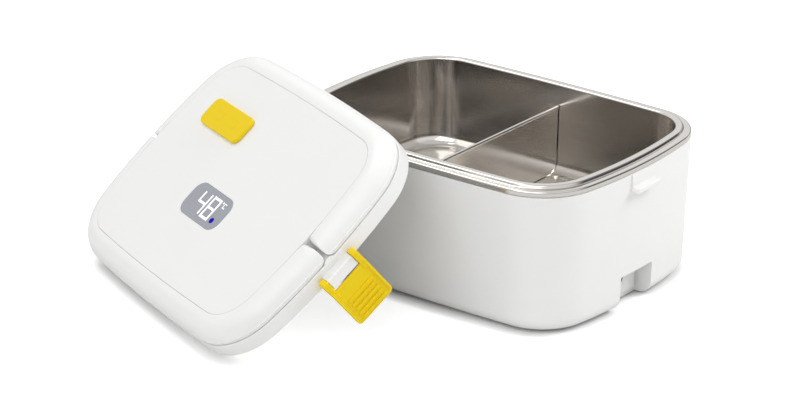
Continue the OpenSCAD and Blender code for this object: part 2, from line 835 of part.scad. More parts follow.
module display_digits() {
    color([0.98, 0.98, 1])
        leaning()
            translate([0, 0, lid_height - 0.5])
                linear_extrude(0.45)
                    figures(0);
}

module status_light() {
    color([0.1, 0.05, 0.85])
        leaning()
            translate([window_at[0] + 15.2, window_at[1] - 5.6, lid_height - 0.5])
                cylinder(r = 2.05, h = 0.45);
}

module display_board() {
    color([0.1, 0.35, 0.2])
        leaning()
            translate([window_at[0], window_at[1], 0]) {
                translate([-26, -15, lid_height - 5.2])
                    cube([52, 30, 1.6]);
                translate([-16, -8.6, lid_height - 3.8])
                    cube([34, 17.2, 2]);
            }
}

module battery() {
    color([0.75, 0.75, 0.77])
        leaning()
            translate([window_at[0] - 12, window_at[1], lid_height - 8.7])
                union() {
                    cylinder(r = 10, h = 2.2);
                    translate([0, 0, 2])
                        cylinder(r = 8.6, h = 1.3);
                }
}

module temperature_probe() {
    color([0.8, 0.8, 0.82])
        leaning()
            translate([30, 10, seat_z - 1.4]) {
                cylinder(r = 3, h = 8);
                translate([0, 0, 3.4])
                    cylinder(r = 4.4, h = 1.2);
            }
}

housing();
inner_shell();
bottom_cover();
feet();
bottom_screws();
heater_plate();
heating_element();
element_bracket();
thermostat();
thermal_fuse();
supply_leads();
inlet_socket();
inlet_pins();
tray();
divider();
lid_ring();
top_panel();
inner_plate();
gasket();
lid_screws();
handle_front();
handle_rear();
handle_pins();
clip_near();
clip_far();
clip_pins();
vent_cap();
display_window();
display_digits();
status_light();
display_board();
battery();
temperature_probe();
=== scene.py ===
"""Looks of an electric lunch box: white heated base, steel tray with a divider, and a lid leaning on its rim.

Lengths are in metres, written as millimetres times MM. Lid sizes are in the lid's own frame: x along its
long side, y across it, z up from its lower edge.
"""

import sys

import json
import logging
import math
from collections.abc import Callable, Iterable, Mapping, Sequence
from dataclasses import dataclass, field
from enum import Enum

import bmesh
import bpy
from mathutils import Matrix, Vector


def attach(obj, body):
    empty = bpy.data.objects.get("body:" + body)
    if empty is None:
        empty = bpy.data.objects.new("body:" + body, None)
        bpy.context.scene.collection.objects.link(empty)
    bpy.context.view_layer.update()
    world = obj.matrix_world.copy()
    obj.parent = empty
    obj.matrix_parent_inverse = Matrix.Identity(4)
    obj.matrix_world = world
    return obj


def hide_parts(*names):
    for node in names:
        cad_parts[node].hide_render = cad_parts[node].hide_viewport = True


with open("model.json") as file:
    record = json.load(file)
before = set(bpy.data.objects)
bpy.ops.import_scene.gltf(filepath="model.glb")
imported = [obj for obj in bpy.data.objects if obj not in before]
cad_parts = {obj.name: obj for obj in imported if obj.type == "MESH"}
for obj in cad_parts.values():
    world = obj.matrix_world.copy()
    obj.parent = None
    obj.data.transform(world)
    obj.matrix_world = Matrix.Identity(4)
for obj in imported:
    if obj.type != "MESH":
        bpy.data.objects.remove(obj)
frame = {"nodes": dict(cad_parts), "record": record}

MM = 0.001
Point = tuple[float, float]
Triple = tuple[float, float, float]
Corner = Triple
Colour = Triple
PURE_WHITE = (1.0, 1.0, 1.0, 1.0)
log = logging.getLogger("lunch_box")


class Axis(Enum):
    """The direction along which a flat outline is drawn out."""

    X = "x"
    Y = "y"
    Z = "z"

    def lift(self, u: float, v: float, w: float) -> Vector:
        """Returns the point with outline coordinates u, v at height w along the axis."""
        return Vector({"x": (w, u, v), "y": (u, w, v), "z": (u, v, w)}[self.value])


class Cut(Enum):
    """How one solid changes another."""

    TAKE = "DIFFERENCE"
    JOIN = "UNION"
    KEEP = "INTERSECT"


# ---------------------------------------------------------------------------------------------- outlines

# A rounding turns by this much in one step.
ARC_STEP = math.radians(15)
# A corner whose half angle is above this counts as straight.
NEARLY_STRAIGHT = math.radians(89)
# A rounding takes up no more than this share of the side next to it.
SIDE_SHARE = 0.48
# The corner's centre is found by this many rounds of correction.
SETTLE_ROUNDS = 12
# Floors and panels go over into one flat face this far inside the outline.
FLAT_IN = 31 * MM


def arc(x: float, y: float, radius: float, start: float, end: float, steps: int) -> list[Point]:
    """Points on a circular arc.

    Args:
        x, y: The centre.
        radius: The radius.
        start, end: Angles in degrees.
        steps: How many pieces the arc is cut into.

    Returns:
        The steps + 1 points, both ends included.
    """
    angles = [math.radians(start + (end - start) * i / steps) for i in range(steps + 1)]
    return [(x + radius * math.cos(a), y + radius * math.sin(a)) for a in angles]


def rounded(corners: Sequence[Corner], closed: bool = True) -> list[Point]:
    """Rounds the corners of a path.

    Args:
        corners: Each corner as x, y and the radius of its rounding.
        closed: Whether the last corner joins the first.

    Returns:
        The points of the rounded path, with an arc at each corner that has a radius.
    """
    points: list[Point] = []
    count = len(corners)
    for i, (x, y, radius) in enumerate(corners):
        here = Vector((x, y))
        if radius <= 0 or (not closed and i in (0, count - 1)):
            points.append((x, y))
            continue
        back = Vector(corners[i - 1][:2]) - here
        ahead = Vector(corners[(i + 1) % count][:2]) - here
        half = back.angle(ahead) / 2
        if half > NEARLY_STRAIGHT:
            points.append((x, y))
            continue
        reach = min(radius / math.tan(half), SIDE_SHARE * back.length, SIDE_SHARE * ahead.length)
        size = reach * math.tan(half)
        centre = here + (back.normalized() + ahead.normalized()).normalized() * (size / math.sin(half))
        start = here + back.normalized() * reach - centre
        turn = start.angle_signed(here + ahead.normalized() * reach - centre)
        steps = max(2, math.ceil(abs(turn) / ARC_STEP))
        for k in range(steps + 1):
            spin = Matrix.Rotation(-turn * k / steps, 2)
            points.append(tuple(centre + spin @ start))
    return points


def oblong(x: float, y: float, width: float, depth: float, radius: float) -> list[Point]:
    """Returns a rectangle about x, y with four rounded corners."""
    w, d = width / 2, depth / 2
    quadrants = ((1, 1), (-1, 1), (-1, -1), (1, -1))
    return rounded([(x + i * w, y + j * d, radius) for i, j in quadrants])


@dataclass(frozen=True)
class Turn:
    """One station of the shared outline: the arc that it lies on, and its direction from the arc's centre."""

    x: float
    y: float
    radius: float
    angle: float

    def at(self, off: float) -> Point:
        """Returns the point at a distance outside the outline."""
        reach = self.radius + off
        return self.x + reach * math.cos(self.angle), self.y + reach * math.sin(self.angle)

    def mirrored(self) -> "Turn":
        """Returns the same station on the other side of the YZ plane."""
        return Turn(-self.x, self.y, self.radius, math.pi - self.angle)

    def opposite(self) -> "Turn":
        """Returns the same station half a turn round."""
        return Turn(-self.x, -self.y, self.radius, math.pi + self.angle)


@dataclass(frozen=True)
class Outline:
    """The oblong with rounded corners and bowed sides that base, tray and lid share."""

    length: float = 238 * MM
    width: float = 172.8 * MM
    corner: float = 40.6 * MM
    long_bow: float = 3.5 * MM
    short_bow: float = 10.7 * MM
    corner_steps: int = 20
    long_steps: int = 8
    short_steps: int = 6

    @property
    def end(self) -> float:
        """Half the length."""
        return self.length / 2

    @property
    def side(self) -> float:
        """Half the width."""
        return self.width / 2

    @property
    def long_radius(self) -> float:
        """Radius of the long sides' bow."""
        return self.end**2 / (2 * self.long_bow)

    @property
    def short_radius(self) -> float:
        """Radius of the short sides' bow."""
        return self.side**2 / (2 * self.short_bow)

    def corner_centre(self) -> Point:
        """Returns the centre of the corner that touches both bowed sides."""
        x, y = self.end - self.corner, self.side - self.corner
        for _ in range(SETTLE_ROUNDS):
            x = self.end - self.short_radius + math.sqrt((self.short_radius - self.corner) ** 2 - y * y)
            y = self.side - self.long_radius + math.sqrt((self.long_radius - self.corner) ** 2 - x * x)
        return x, y

    def quarter(self, stops: Sequence[float] = ()) -> list[Turn]:
        """Stations from the middle of the +X side to the middle of the +Y side.

        Args:
            stops: Distances from the middle of the +X side, which replace its even steps.

        Returns:
            The stations in order, counter-clockwise.
        """
        x, y = self.corner_centre()
        base_x, base_y = self.end - self.short_radius, self.side - self.long_radius
        low = math.atan2(y, x - base_x)
        high = math.atan2(y - base_y, x)
        reach = self.short_radius * math.sin(low)
        ys = list(stops) or [reach * i / self.short_steps for i in range(self.short_steps)]
        turns = [Turn(base_x, 0, self.short_radius, math.asin(s / self.short_radius)) for s in ys]
        steps = self.corner_steps
        turns += [Turn(x, y, self.corner, low + (high - low) * i / steps) for i in range(steps)]
        steps, left = self.long_steps, math.pi / 2 - high
        turns += [Turn(0, base_y, self.long_radius, high + left * i / steps) for i in range(steps + 1)]
        return turns

    def loop(self) -> list[Turn]:
        """Returns the stations of the whole outline, counter-clockwise from the middle of the +X side."""
        quarter = self.quarter()
        half = quarter[:-1] + [t.mirrored() for t in reversed(quarter)][:-1]
        return half + [t.opposite() for t in half]

    def front_half(self, stops: Sequence[float]) -> list[Turn]:
        """Returns the stations from one end wall round the front to the other, with the given first stops."""
        left = [t.opposite() for t in self.quarter(stops)]
        return left + [t.mirrored() for t in reversed(left)][1:]


# ------------------------------------------------------------------------------------------------ meshes

ROD_SIDES = 32
EDGE_STEPS = 3
# Larger flat faces count this much in the shading of their edges.
FLAT_WEIGHT = 80


class Piece:
    """Gathers the closed shells of one piece and turns them into an object."""

    def __init__(self, name: str) -> None:
        """Starts an empty piece."""
        self.name = name
        self.mesh = bmesh.new()

    def _shell(self, points: Iterable[Vector], faces: Iterable[Sequence[int]]) -> list[bmesh.types.BMFace]:
        """Adds one closed shell and returns its faces."""
        verts = [self.mesh.verts.new(p) for p in points]
        made = [self.mesh.faces.new([verts[i] for i in face]) for face in faces]
        bmesh.ops.recalc_face_normals(self.mesh, faces=made)
        return made

    def sweep(
        self,
        turns: Sequence[Turn],
        path: Sequence[Point],
        closed_path: bool = True,
        loop: bool = True,
        shape: Callable[[Point, Turn], Point] | None = None,
    ) -> "Piece":
        """Draws a profile along the outline.

        Args:
            turns: The stations.
            path: The profile as offset and height.
            closed_path: Whether the profile is a closed ring. An open one gets a flat face at each end.
            loop: Whether the stations close on themselves. If not, both ends are capped.
            shape: Moves a profile point at a station, for ends that taper.

        Returns:
            This piece.
        """
        count, width = len(turns), len(path)
        points = []
        for t in turns:
            for p in path:
                off, z = shape(p, t) if shape else p
                points.append(Vector((*t.at(off), z)))
        rows = count if loop else count - 1
        columns = width if closed_path else width - 1
        faces = []
        for i in range(rows):
            here, there = i * width, (i + 1) % count * width
            for j in range(columns):
                k = (j + 1) % width
                faces.append((here + j, here + k, there + k, there + j))
        if not closed_path:
            faces += [[i * width for i in range(count)], [i * width + width - 1 for i in range(count)]]
        if not loop:
            faces += [list(range(width)), [(count - 1) * width + j for j in range(width)]]
        self._shell(points, faces)
        return self

    def prism(
        self, axis: Axis, outline: Sequence[Point], low: float, high: float, edge: float = 0.0
    ) -> "Piece":
        """Draws a flat outline out along an axis.

        Args:
            axis: The direction.
            outline: The outline's points.
            low, high: Where the prism starts and ends.
            edge: Rounding of its two rims.

        Returns:
            This piece.
        """
        count = len(outline)
        points = [axis.lift(u, v, w) for w in (low, high) for u, v in outline]
        sides = [(i, (i + 1) % count, count + (i + 1) % count, count + i) for i in range(count)]
        made = self._shell(points, sides + [list(range(count)), list(range(count, 2 * count))])
        if edge > 0:
            rims = [e for cap in made[-2:] for e in cap.edges]
            bmesh.ops.bevel(
                self.mesh, geom=rims, offset=edge, segments=EDGE_STEPS, profile=0.5, affect="EDGES"
            )
        return self

    def rod(
        self, axis: Axis, u: float, v: float, radius: float, low: float, high: float, edge: float = 0.0
    ) -> "Piece":
        """Adds a round bar along an axis, and returns this piece."""
        return self.prism(axis, arc(u, v, radius, 0, 360, ROD_SIDES)[:-1], low, high, edge)

    def done(self, place: Matrix | None = None) -> bpy.types.Object:
        """Makes the object.

        Args:
            place: Where the piece's own frame stands in the row's frame.

        Returns:
            The new object, at the origin, with its place in its mesh.
        """
        if place is not None:
            self.mesh.transform(place)
        data = bpy.data.meshes.new(self.name)
        self.mesh.to_mesh(data)
        self.mesh.free()
        made = bpy.data.objects.new(self.name, data)
        bpy.context.scene.collection.objects.link(made)
        return made


def combine(target: bpy.types.Object, tool: bpy.types.Object, cut: Cut) -> bpy.types.Object:
    """Changes one object by another, which is used up.

    Args:
        target: The object that stays.
        tool: The other solid.
        cut: What is done.

    Returns:
        The target.
    """
    modifier = target.modifiers.new("cut", "BOOLEAN")
    modifier.operation = cut.value
    modifier.solver = "MANIFOLD"
    modifier.object = tool
    bpy.context.view_layer.update()
    graph = bpy.context.evaluated_depsgraph_get()
    result = bpy.data.meshes.new_from_object(target.evaluated_get(graph))
    target.modifiers.clear()
    old, target.data = target.data, result
    bpy.data.meshes.remove(old)
    bpy.data.objects.remove(tool)
    return target


def smooth(piece: bpy.types.Object, sharp_degrees: float) -> None:
    """Shades a piece smoothly, with flat faces kept flat.

    Args:
        piece: The object.
        sharp_degrees: Edges that turn by more than this stay sharp.
    """
    piece.data.polygons.foreach_set("use_smooth", [True] * len(piece.data.polygons))
    piece.data.set_sharp_from_angle(angle=math.radians(sharp_degrees))
    normals = piece.modifiers.new("flat faces", "WEIGHTED_NORMAL")
    normals.keep_sharp = True
    normals.weight = FLAT_WEIGHT


# --------------------------------------------------------------------------------------------- materials

# A Mix node names its sockets for colours as it names those for numbers, so they go by number.
MIX_SHARE, MIX_FIRST, MIX_SECOND, MIX_RESULT = 0, 6, 7, 2


class Wire:
    """A shader value that can be used in arithmetic, which adds Math nodes."""

    def __init__(self, graph: "Graph", socket: bpy.types.NodeSocket) -> None:
        """Wraps an output socket of a graph."""
        self.graph = graph
        self.socket = socket

    def _math(self, operation: str, first: "Wire | float", second: "Wire | float") -> "Wire":
        """Returns the result of a Math node."""
        return self.graph.node("ShaderNodeMath", {"operation": operation}, {0: first, 1: second}, "Value")

    def __add__(self, other: "Wire | float") -> "Wire":
        """Returns self + other."""
        return self._math("ADD", self, other)

    def __radd__(self, other: float) -> "Wire":
        """Returns other + self."""
        return self._math("ADD", other, self)

    def __sub__(self, other: "Wire | float") -> "Wire":
        """Returns self - other."""
        return self._math("SUBTRACT", self, other)

    def __rsub__(self, other: float) -> "Wire":
        """Returns other - self."""
        return self._math("SUBTRACT", other, self)

    def __mul__(self, other: "Wire | float") -> "Wire":
        """Returns self * other."""
        return self._math("MULTIPLY", self, other)

    def __rmul__(self, other: float) -> "Wire":
        """Returns other * self."""
        return self._math("MULTIPLY", other, self)

    def __gt__(self, other: "Wire | float") -> "Wire":
        """Returns 1 where self is more than other, and 0 elsewhere."""
        return self._math("GREATER_THAN", self, other)

    def __lt__(self, other: "Wire | float") -> "Wire":
        """Returns 1 where self is less than other, and 0 elsewhere. It also serves other > self."""
        return self._math("LESS_THAN", self, other)

    def __abs__(self) -> "Wire":
        """Returns the value without its sign."""
        return self._math("ABSOLUTE", self, 0.0)

    def either(self, other: "Wire | float") -> "Wire":
        """Returns the larger of self and other."""
        return self._math("MAXIMUM", self, other)

    def step(self, low: float, high: float) -> "Wire":
        """Returns a smooth rise from 0 at low to 1 at high."""
        sockets = {"Value": self, "From Min": low, "From Max": high}
        return self.graph.node("ShaderNodeMapRange", {"interpolation_type": "SMOOTHSTEP"}, sockets, "Result")


class Graph:
    """The node tree of a material or of the world."""

    def __init__(self, owner: bpy.types.Material | bpy.types.World, output: str) -> None:
        """Clears the owner's tree and leaves one output node of the given type."""
        owner.use_nodes = True
        self.tree = owner.node_tree
        self.tree.nodes.clear()
        self.output = self.tree.nodes.new(output)

    def node(
        self,
        kind: str,
        settings: Mapping[str, object],
        inputs: Mapping[str | int, object],
        result: str | int,
    ) -> Wire:
        """Adds a node.

        Args:
            kind: Its type.
            settings: Its own settings, which are set first.
            inputs: Values or wires for its sockets, by name or number.
            result: The name or number of the output that is wanted.

        Returns:
            That output.
        """
        made = self.tree.nodes.new(kind)
        for key, value in settings.items():
            setattr(made, key, value)
        for key, value in inputs.items():
            if isinstance(value, Wire):
                self.tree.links.new(value.socket, made.inputs[key])
            else:
                made.inputs[key].default_value = value
        return Wire(self, made.outputs[result])

    def place(self) -> Wire:
        """Returns the point in the object's own frame."""
        return self.node("ShaderNodeTexCoord", {}, {}, "Object")

    def part(self, vector: Wire, axis: Axis) -> Wire:
        """Returns one coordinate of a vector."""
        return self.node("ShaderNodeSeparateXYZ", {}, {0: vector}, axis.value.upper())

    def noise(self, scale: float, detail: float = 2.0, stretch: Triple = (1.0, 1.0, 1.0)) -> Wire:
        """Returns soft noise from 0 to 1, with a scale per metre and a stretch per axis."""
        point = self.node("ShaderNodeMapping", {}, {"Vector": self.place(), "Scale": stretch}, "Vector")
        sockets = {"Vector": point, "Scale": scale, "Detail": detail, "Roughness": 0.55}
        return self.node("ShaderNodeTexNoise", {}, sockets, "Fac")

    def blend(self, share: Wire | float, first: Wire | Colour, second: Wire | Colour) -> Wire:
        """Returns a mix of two colours."""
        first, second = (c if isinstance(c, Wire) else (*c, 1.0) for c in (first, second))
        sockets = {MIX_SHARE: share, MIX_FIRST: first, MIX_SECOND: second}
        return self.node("ShaderNodeMix", {"data_type": "RGBA"}, sockets, MIX_RESULT)

    def bump(self, height: Wire, depth: float, strength: float) -> Wire:
        """Returns normals for a height from 0 to 1 that is depth metres deep."""
        values = {"Height": height, "Distance": depth, "Strength": strength}
        return self.node("ShaderNodeBump", {}, values, "Normal")

    def ray(self, kind: str) -> Wire:
        """Returns 1 on rays of a kind, such as Camera, and 0 on others."""
        return self.node("ShaderNodeLightPath", {}, {}, f"Is {kind} Ray")

    def surface(self, shader: Wire) -> None:
        """Ends the graph in a shader."""
        self.tree.links.new(shader.socket, self.output.inputs["Surface"])

    def principled(self, inputs: Mapping[str | int, object]) -> None:
        """Ends the graph in one Principled shader."""
        self.surface(self.node("ShaderNodeBsdfPrincipled", {}, inputs, "BSDF"))


def uneven(value: Wire | float, amount: float, noise: Wire) -> Wire:
    """Returns a value that noise from 0 to 1 moves by up to half the amount each way."""
    return value + amount * (noise - 0.5)


@dataclass(frozen=True)
class Finish:
    """How a surface looks: a colour with its darkest and lightest tone, and what its subclasses add."""

    name: str
    colour: Colour
    slot: str
    tones: Point = (1.0, 1.0)

    def tone(self, factor: float) -> Colour:
        """Returns the colour made lighter or darker."""
        return tuple(min(1.0, c * factor) for c in self.colour)

    def shaded(self, g: Graph, share: Wire) -> Wire:
        """Returns the colour, between its darkest tone at a share of 0 and its lightest at 1."""
        dark, light = self.tones
        return g.blend(share, self.tone(dark), self.tone(light))

    def material(self) -> bpy.types.Material:
        """Returns a new material of this finish."""
        made = bpy.data.materials.new(self.name)
        self.paint(Graph(made, "ShaderNodeOutputMaterial"))
        return made

    def paint(self, g: Graph) -> None:
        """Draws the finish's nodes."""
        raise NotImplementedError


@dataclass(frozen=True)
class Moulded(Finish):
    """Injection-moulded plastic with a fine satin grain."""

    tones: Point = (0.988, 1.012)
    clouds: float = 28.0
    roughness: float = 0.36
    ior: float = 1.46
    grain: float = 2600.0
    grain_depth: float = 0.012 * MM
    grain_strength: float = 0.35
    grain_dulling: float = 0.05
    patches: float = 90.0
    patch_height: float = 0.4
    patch_dulling: float = 0.08

    def tint(self, g: Graph) -> Wire:
        """Returns the plastic's colour with its faint clouds of tone."""
        return self.shaded(g, g.noise(self.clouds, 3.0))

    def paint(self, g: Graph) -> None:
        """Draws faint clouds of tone, satin patches and a fine moulded grain."""
        fine = g.noise(self.grain)
        wide = g.noise(self.patches)
        patched = uneven(self.roughness, self.patch_dulling, wide)
        g.principled(
            {
                "Base Color": self.tint(g),
                "Roughness": uneven(patched, self.grain_dulling, fine),
                "IOR": self.ior,
                "Normal": g.bump(fine + self.patch_height * wide, self.grain_depth, self.grain_strength),
            }
        )


@dataclass(frozen=True)
class Socket(Moulded):
    """The inlet's plastic, pale on its face, with painted shade down in its hole."""

    face: float = 103.6 * MM
    fade: float = 0.4 * MM
    # Painted shade: the dark colour given to the socket's hole behind its face.
    inside: Colour = (0.1, 0.1, 0.105)

    def tint(self, g: Graph) -> Wire:
        """Returns the pale colour in front of the face and the painted shade behind it."""
        depth = g.part(g.place(), Axis.X).step(self.face, self.face + self.fade)
        return g.blend(depth, self.inside, super().tint(g))


@dataclass(frozen=True)
class Steel(Finish):
    """Drawn and brushed sheet metal."""

    tones: Point = (0.92, 1.07)
    roughness: float = 0.22
    streak: float = 1500.0
    wall_length: float = 25.0
    floor_length: float = 20.0
    streak_depth: float = 0.004 * MM
    streak_strength: float = 0.35
    streak_dulling: float = 0.12
    streak_share: float = 0.3
    tarnish: float = 22.0
    tarnish_dulling: float = 0.08
    flat_above: float = 0.8

    def paint(self, g: Graph) -> None:
        """Draws brush lines round the walls and along the floor, and soft tarnish."""
        normal = g.node("ShaderNodeNewGeometry", {}, {}, "Normal")
        flat = abs(g.part(normal, Axis.Z)) > self.flat_above
        walls = g.noise(1.0, 3.0, (self.wall_length, self.wall_length, self.streak))
        floor = g.noise(1.0, 3.0, (self.floor_length, self.streak, self.floor_length))
        lines = walls + flat * (floor - walls)
        soft = g.noise(self.tarnish, 3.0)
        brushed = uneven(self.roughness, self.streak_dulling, lines)
        g.principled(
            {
                "Base Color": self.shaded(g, soft * (1 - self.streak_share) + lines * self.streak_share),
                "Metallic": 1.0,
                "Roughness": uneven(brushed, self.tarnish_dulling, soft),
                "Normal": g.bump(lines, self.streak_depth, self.streak_strength),
            }
        )


@dataclass(frozen=True)
class SmallMetal(Finish):
    """Plain metal of pins, screws and fittings."""

    tones: Point = (0.9, 1.06)
    clouds: float = 160.0
    roughness: float = 0.34
    scratches: float = 1800.0
    scratch_depth: float = 0.01 * MM
    scratch_strength: float = 0.3
    scratch_dulling: float = 0.16

    def paint(self, g: Graph) -> None:
        """Draws fine scratches and an uneven polish."""
        fine = g.noise(self.scratches, 3.0)
        g.principled(
            {
                "Base Color": self.shaded(g, g.noise(self.clouds)),
                "Metallic": 1.0,
                "Roughness": uneven(self.roughness, self.scratch_dulling, fine),
                "Normal": g.bump(fine, self.scratch_depth, self.scratch_strength),
            }
        )


@dataclass(frozen=True)
class Rubber(Finish):
    """Rubber and silicone, dull and a little uneven."""

    tones: Point = (0.93, 1.05)
    clouds: float = 70.0
    roughness: float = 0.62
    glow: float = 0.0
    glow_reach: float = 0.6 * MM
    grain: float = 1400.0
    grain_depth: float = 0.02 * MM
    grain_strength: float = 0.4
    grain_dulling: float = 0.12

    def paint(self, g: Graph) -> None:
        """Draws a dull grain, with light scattered inside a pale rubber."""
        fine = g.noise(self.grain, 3.0)
        g.principled(
            {
                "Base Color": self.shaded(g, g.noise(self.clouds)),
                "Roughness": uneven(self.roughness, self.grain_dulling, fine),
                "Subsurface Weight": self.glow,
                "Subsurface Radius": (self.glow_reach, self.glow_reach, self.glow_reach),
                "Subsurface Scale": 1.0,
                "Normal": g.bump(fine, self.grain_depth, self.grain_strength),
            }
        )


@dataclass(frozen=True)
class Lens(Finish):
    """The tinted window over the display."""

    tones: Point = (0.86, 1.14)
    clouds: float = 60.0
    cloud_dulling: float = 0.06
    speckles: float = 3800.0
    speckle_share: float = 0.65
    roughness: float = 0.3
    coat: float = 0.2
    coat_roughness: float = 0.08

    def paint(self, g: Graph) -> None:
        """Draws the fine speckle of the diffuser behind a smooth face."""
        cloud = g.noise(self.clouds)
        speckle = self.speckle_share * g.noise(self.speckles, 1.0) + (1 - self.speckle_share) * cloud
        g.principled(
            {
                "Base Color": self.shaded(g, speckle),
                "Roughness": uneven(self.roughness, self.cloud_dulling, cloud),
                "Coat Weight": self.coat,
                "Coat Roughness": self.coat_roughness,
            }
        )


@dataclass(frozen=True)
class Lit(Finish):
    """A lit segment or lamp."""

    tones: Point = (0.94, 1.04)
    clouds: float = 260.0
    strength: float = 0.5
    roughness: float = 0.5
    ior: float = 1.15

    def paint(self, g: Graph) -> None:
        """Draws the light, a little uneven as through a diffuser."""
        colour = self.shaded(g, g.noise(self.clouds))
        g.principled(
            {
                "Base Color": colour,
                "Roughness": self.roughness,
                "IOR": self.ior,
                "Emission Color": colour,
                "Emission Strength": self.strength,
            }
        )


WHITE = Moulded("white_moulding", (0.87, 0.868, 0.855), "white_plastic")
LINING = Moulded("lining_moulding", (0.83, 0.83, 0.825), "white_plastic", roughness=0.42)
INLET = Socket("inlet_moulding", (0.84, 0.84, 0.83), "white_plastic")
YELLOW = Moulded(
    "yellow_moulding", (0.85, 0.62, 0.005), "yellow_plastic", tones=(0.97, 1.03), roughness=0.42, ior=1.27
)
STEEL = Steel("drawn_steel", (0.64, 0.615, 0.585), "steel", roughness=0.16)
ALUMINIUM = Steel("cast_aluminium", (0.72, 0.72, 0.73), "aluminium", roughness=0.36)
FITTING = SmallMetal("fitting_steel", (0.6, 0.6, 0.6), "fastener_steel")
FOOT_RUBBER = Rubber("foot_rubber", (0.035, 0.035, 0.038), "dark_rubber")
SEAL_RUBBER = Rubber("seal_silicone", (0.74, 0.76, 0.77), "clear_rubber", roughness=0.45, glow=0.35)
LEAD_RUBBER = Rubber("lead_sleeve", (0.5, 0.035, 0.02), "lead_red")
CERAMIC = Rubber("fired_ceramic", (0.66, 0.6, 0.45), "ceramic", roughness=0.75)
DARK = Moulded("dark_moulding", (0.07, 0.05, 0.04), "dark_plastic", roughness=0.5)
BOARD = Moulded("circuit_board", (0.02, 0.13, 0.05), "board_green", tones=(0.88, 1.12), roughness=0.3)
WINDOW = Lens("display_window", (0.31, 0.325, 0.365), "window_grey")
DIGITS = Lit("lit_digits", (0.95, 0.95, 1.0), "digit_white", strength=0.25)
LAMP = Lit("lit_lamp", (0.01, 0.0, 0.38), "light_blue", strength=0.15)


# Edges of modelled pieces that turn by more than this many degrees stay sharp.
SHARP = 38
# Edges of CAD nodes that turn by more than this are rounded, in this many steps.
SOFTEN_ABOVE = math.radians(40)
SOFTEN_STEPS = 2
SOFT_EDGE = 0.2 * MM


class Dresser:
    """Gives finishes to pieces and says what they ride on."""

    def __init__(self) -> None:
        """Starts with no material made."""
        self.made: dict[str, bpy.types.Material] = {}

    def material(self, finish: Finish) -> bpy.types.Material:
        """Returns the one material of a finish."""
        if finish.name not in self.made:
            self.made[finish.name] = finish.material()
        return self.made[finish.name]

    def piece(
        self, piece: bpy.types.Object, finish: Finish, body: str, *nodes: str, sharp: float = SHARP
    ) -> None:
        """Dresses a modelled piece.

        Args:
            piece: The object.
            finish: Its finish.
            body: The body that it moves with.
            nodes: The CAD nodes that it stands for.
            sharp: Edges that turn by more than this many degrees stay sharp.
        """
        smooth(piece, sharp)
        piece.data.materials.clear()
        piece.data.materials.append(self.material(finish))
        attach(piece, body)
        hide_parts(*nodes)
        log.info("%s: %d faces, rides on %s", piece.name, len(piece.data.polygons), body)

    def node(self, name: str, finish: Finish, edge: float = SOFT_EDGE) -> None:
        """Dresses a CAD node that stays.

        Args:
            name: The node.
            finish: Its finish.
            edge: How far its edges are rounded.
        """
        node = frame["nodes"][name]
        soften = node.modifiers.new("soft edges", "BEVEL")
        soften.width = edge
        soften.segments = SOFTEN_STEPS
        soften.limit_method = "ANGLE"
        soften.angle_limit = SOFTEN_ABOVE
        soften.harden_normals = True
        if node.material_slots:
            node.material_slots[0].material = self.material(finish)
        else:
            node.data.materials.append(self.material(finish))
        log.info("%s: kept, %s", name, finish.name)


# -------------------------------------------------------------------------------------------------- base


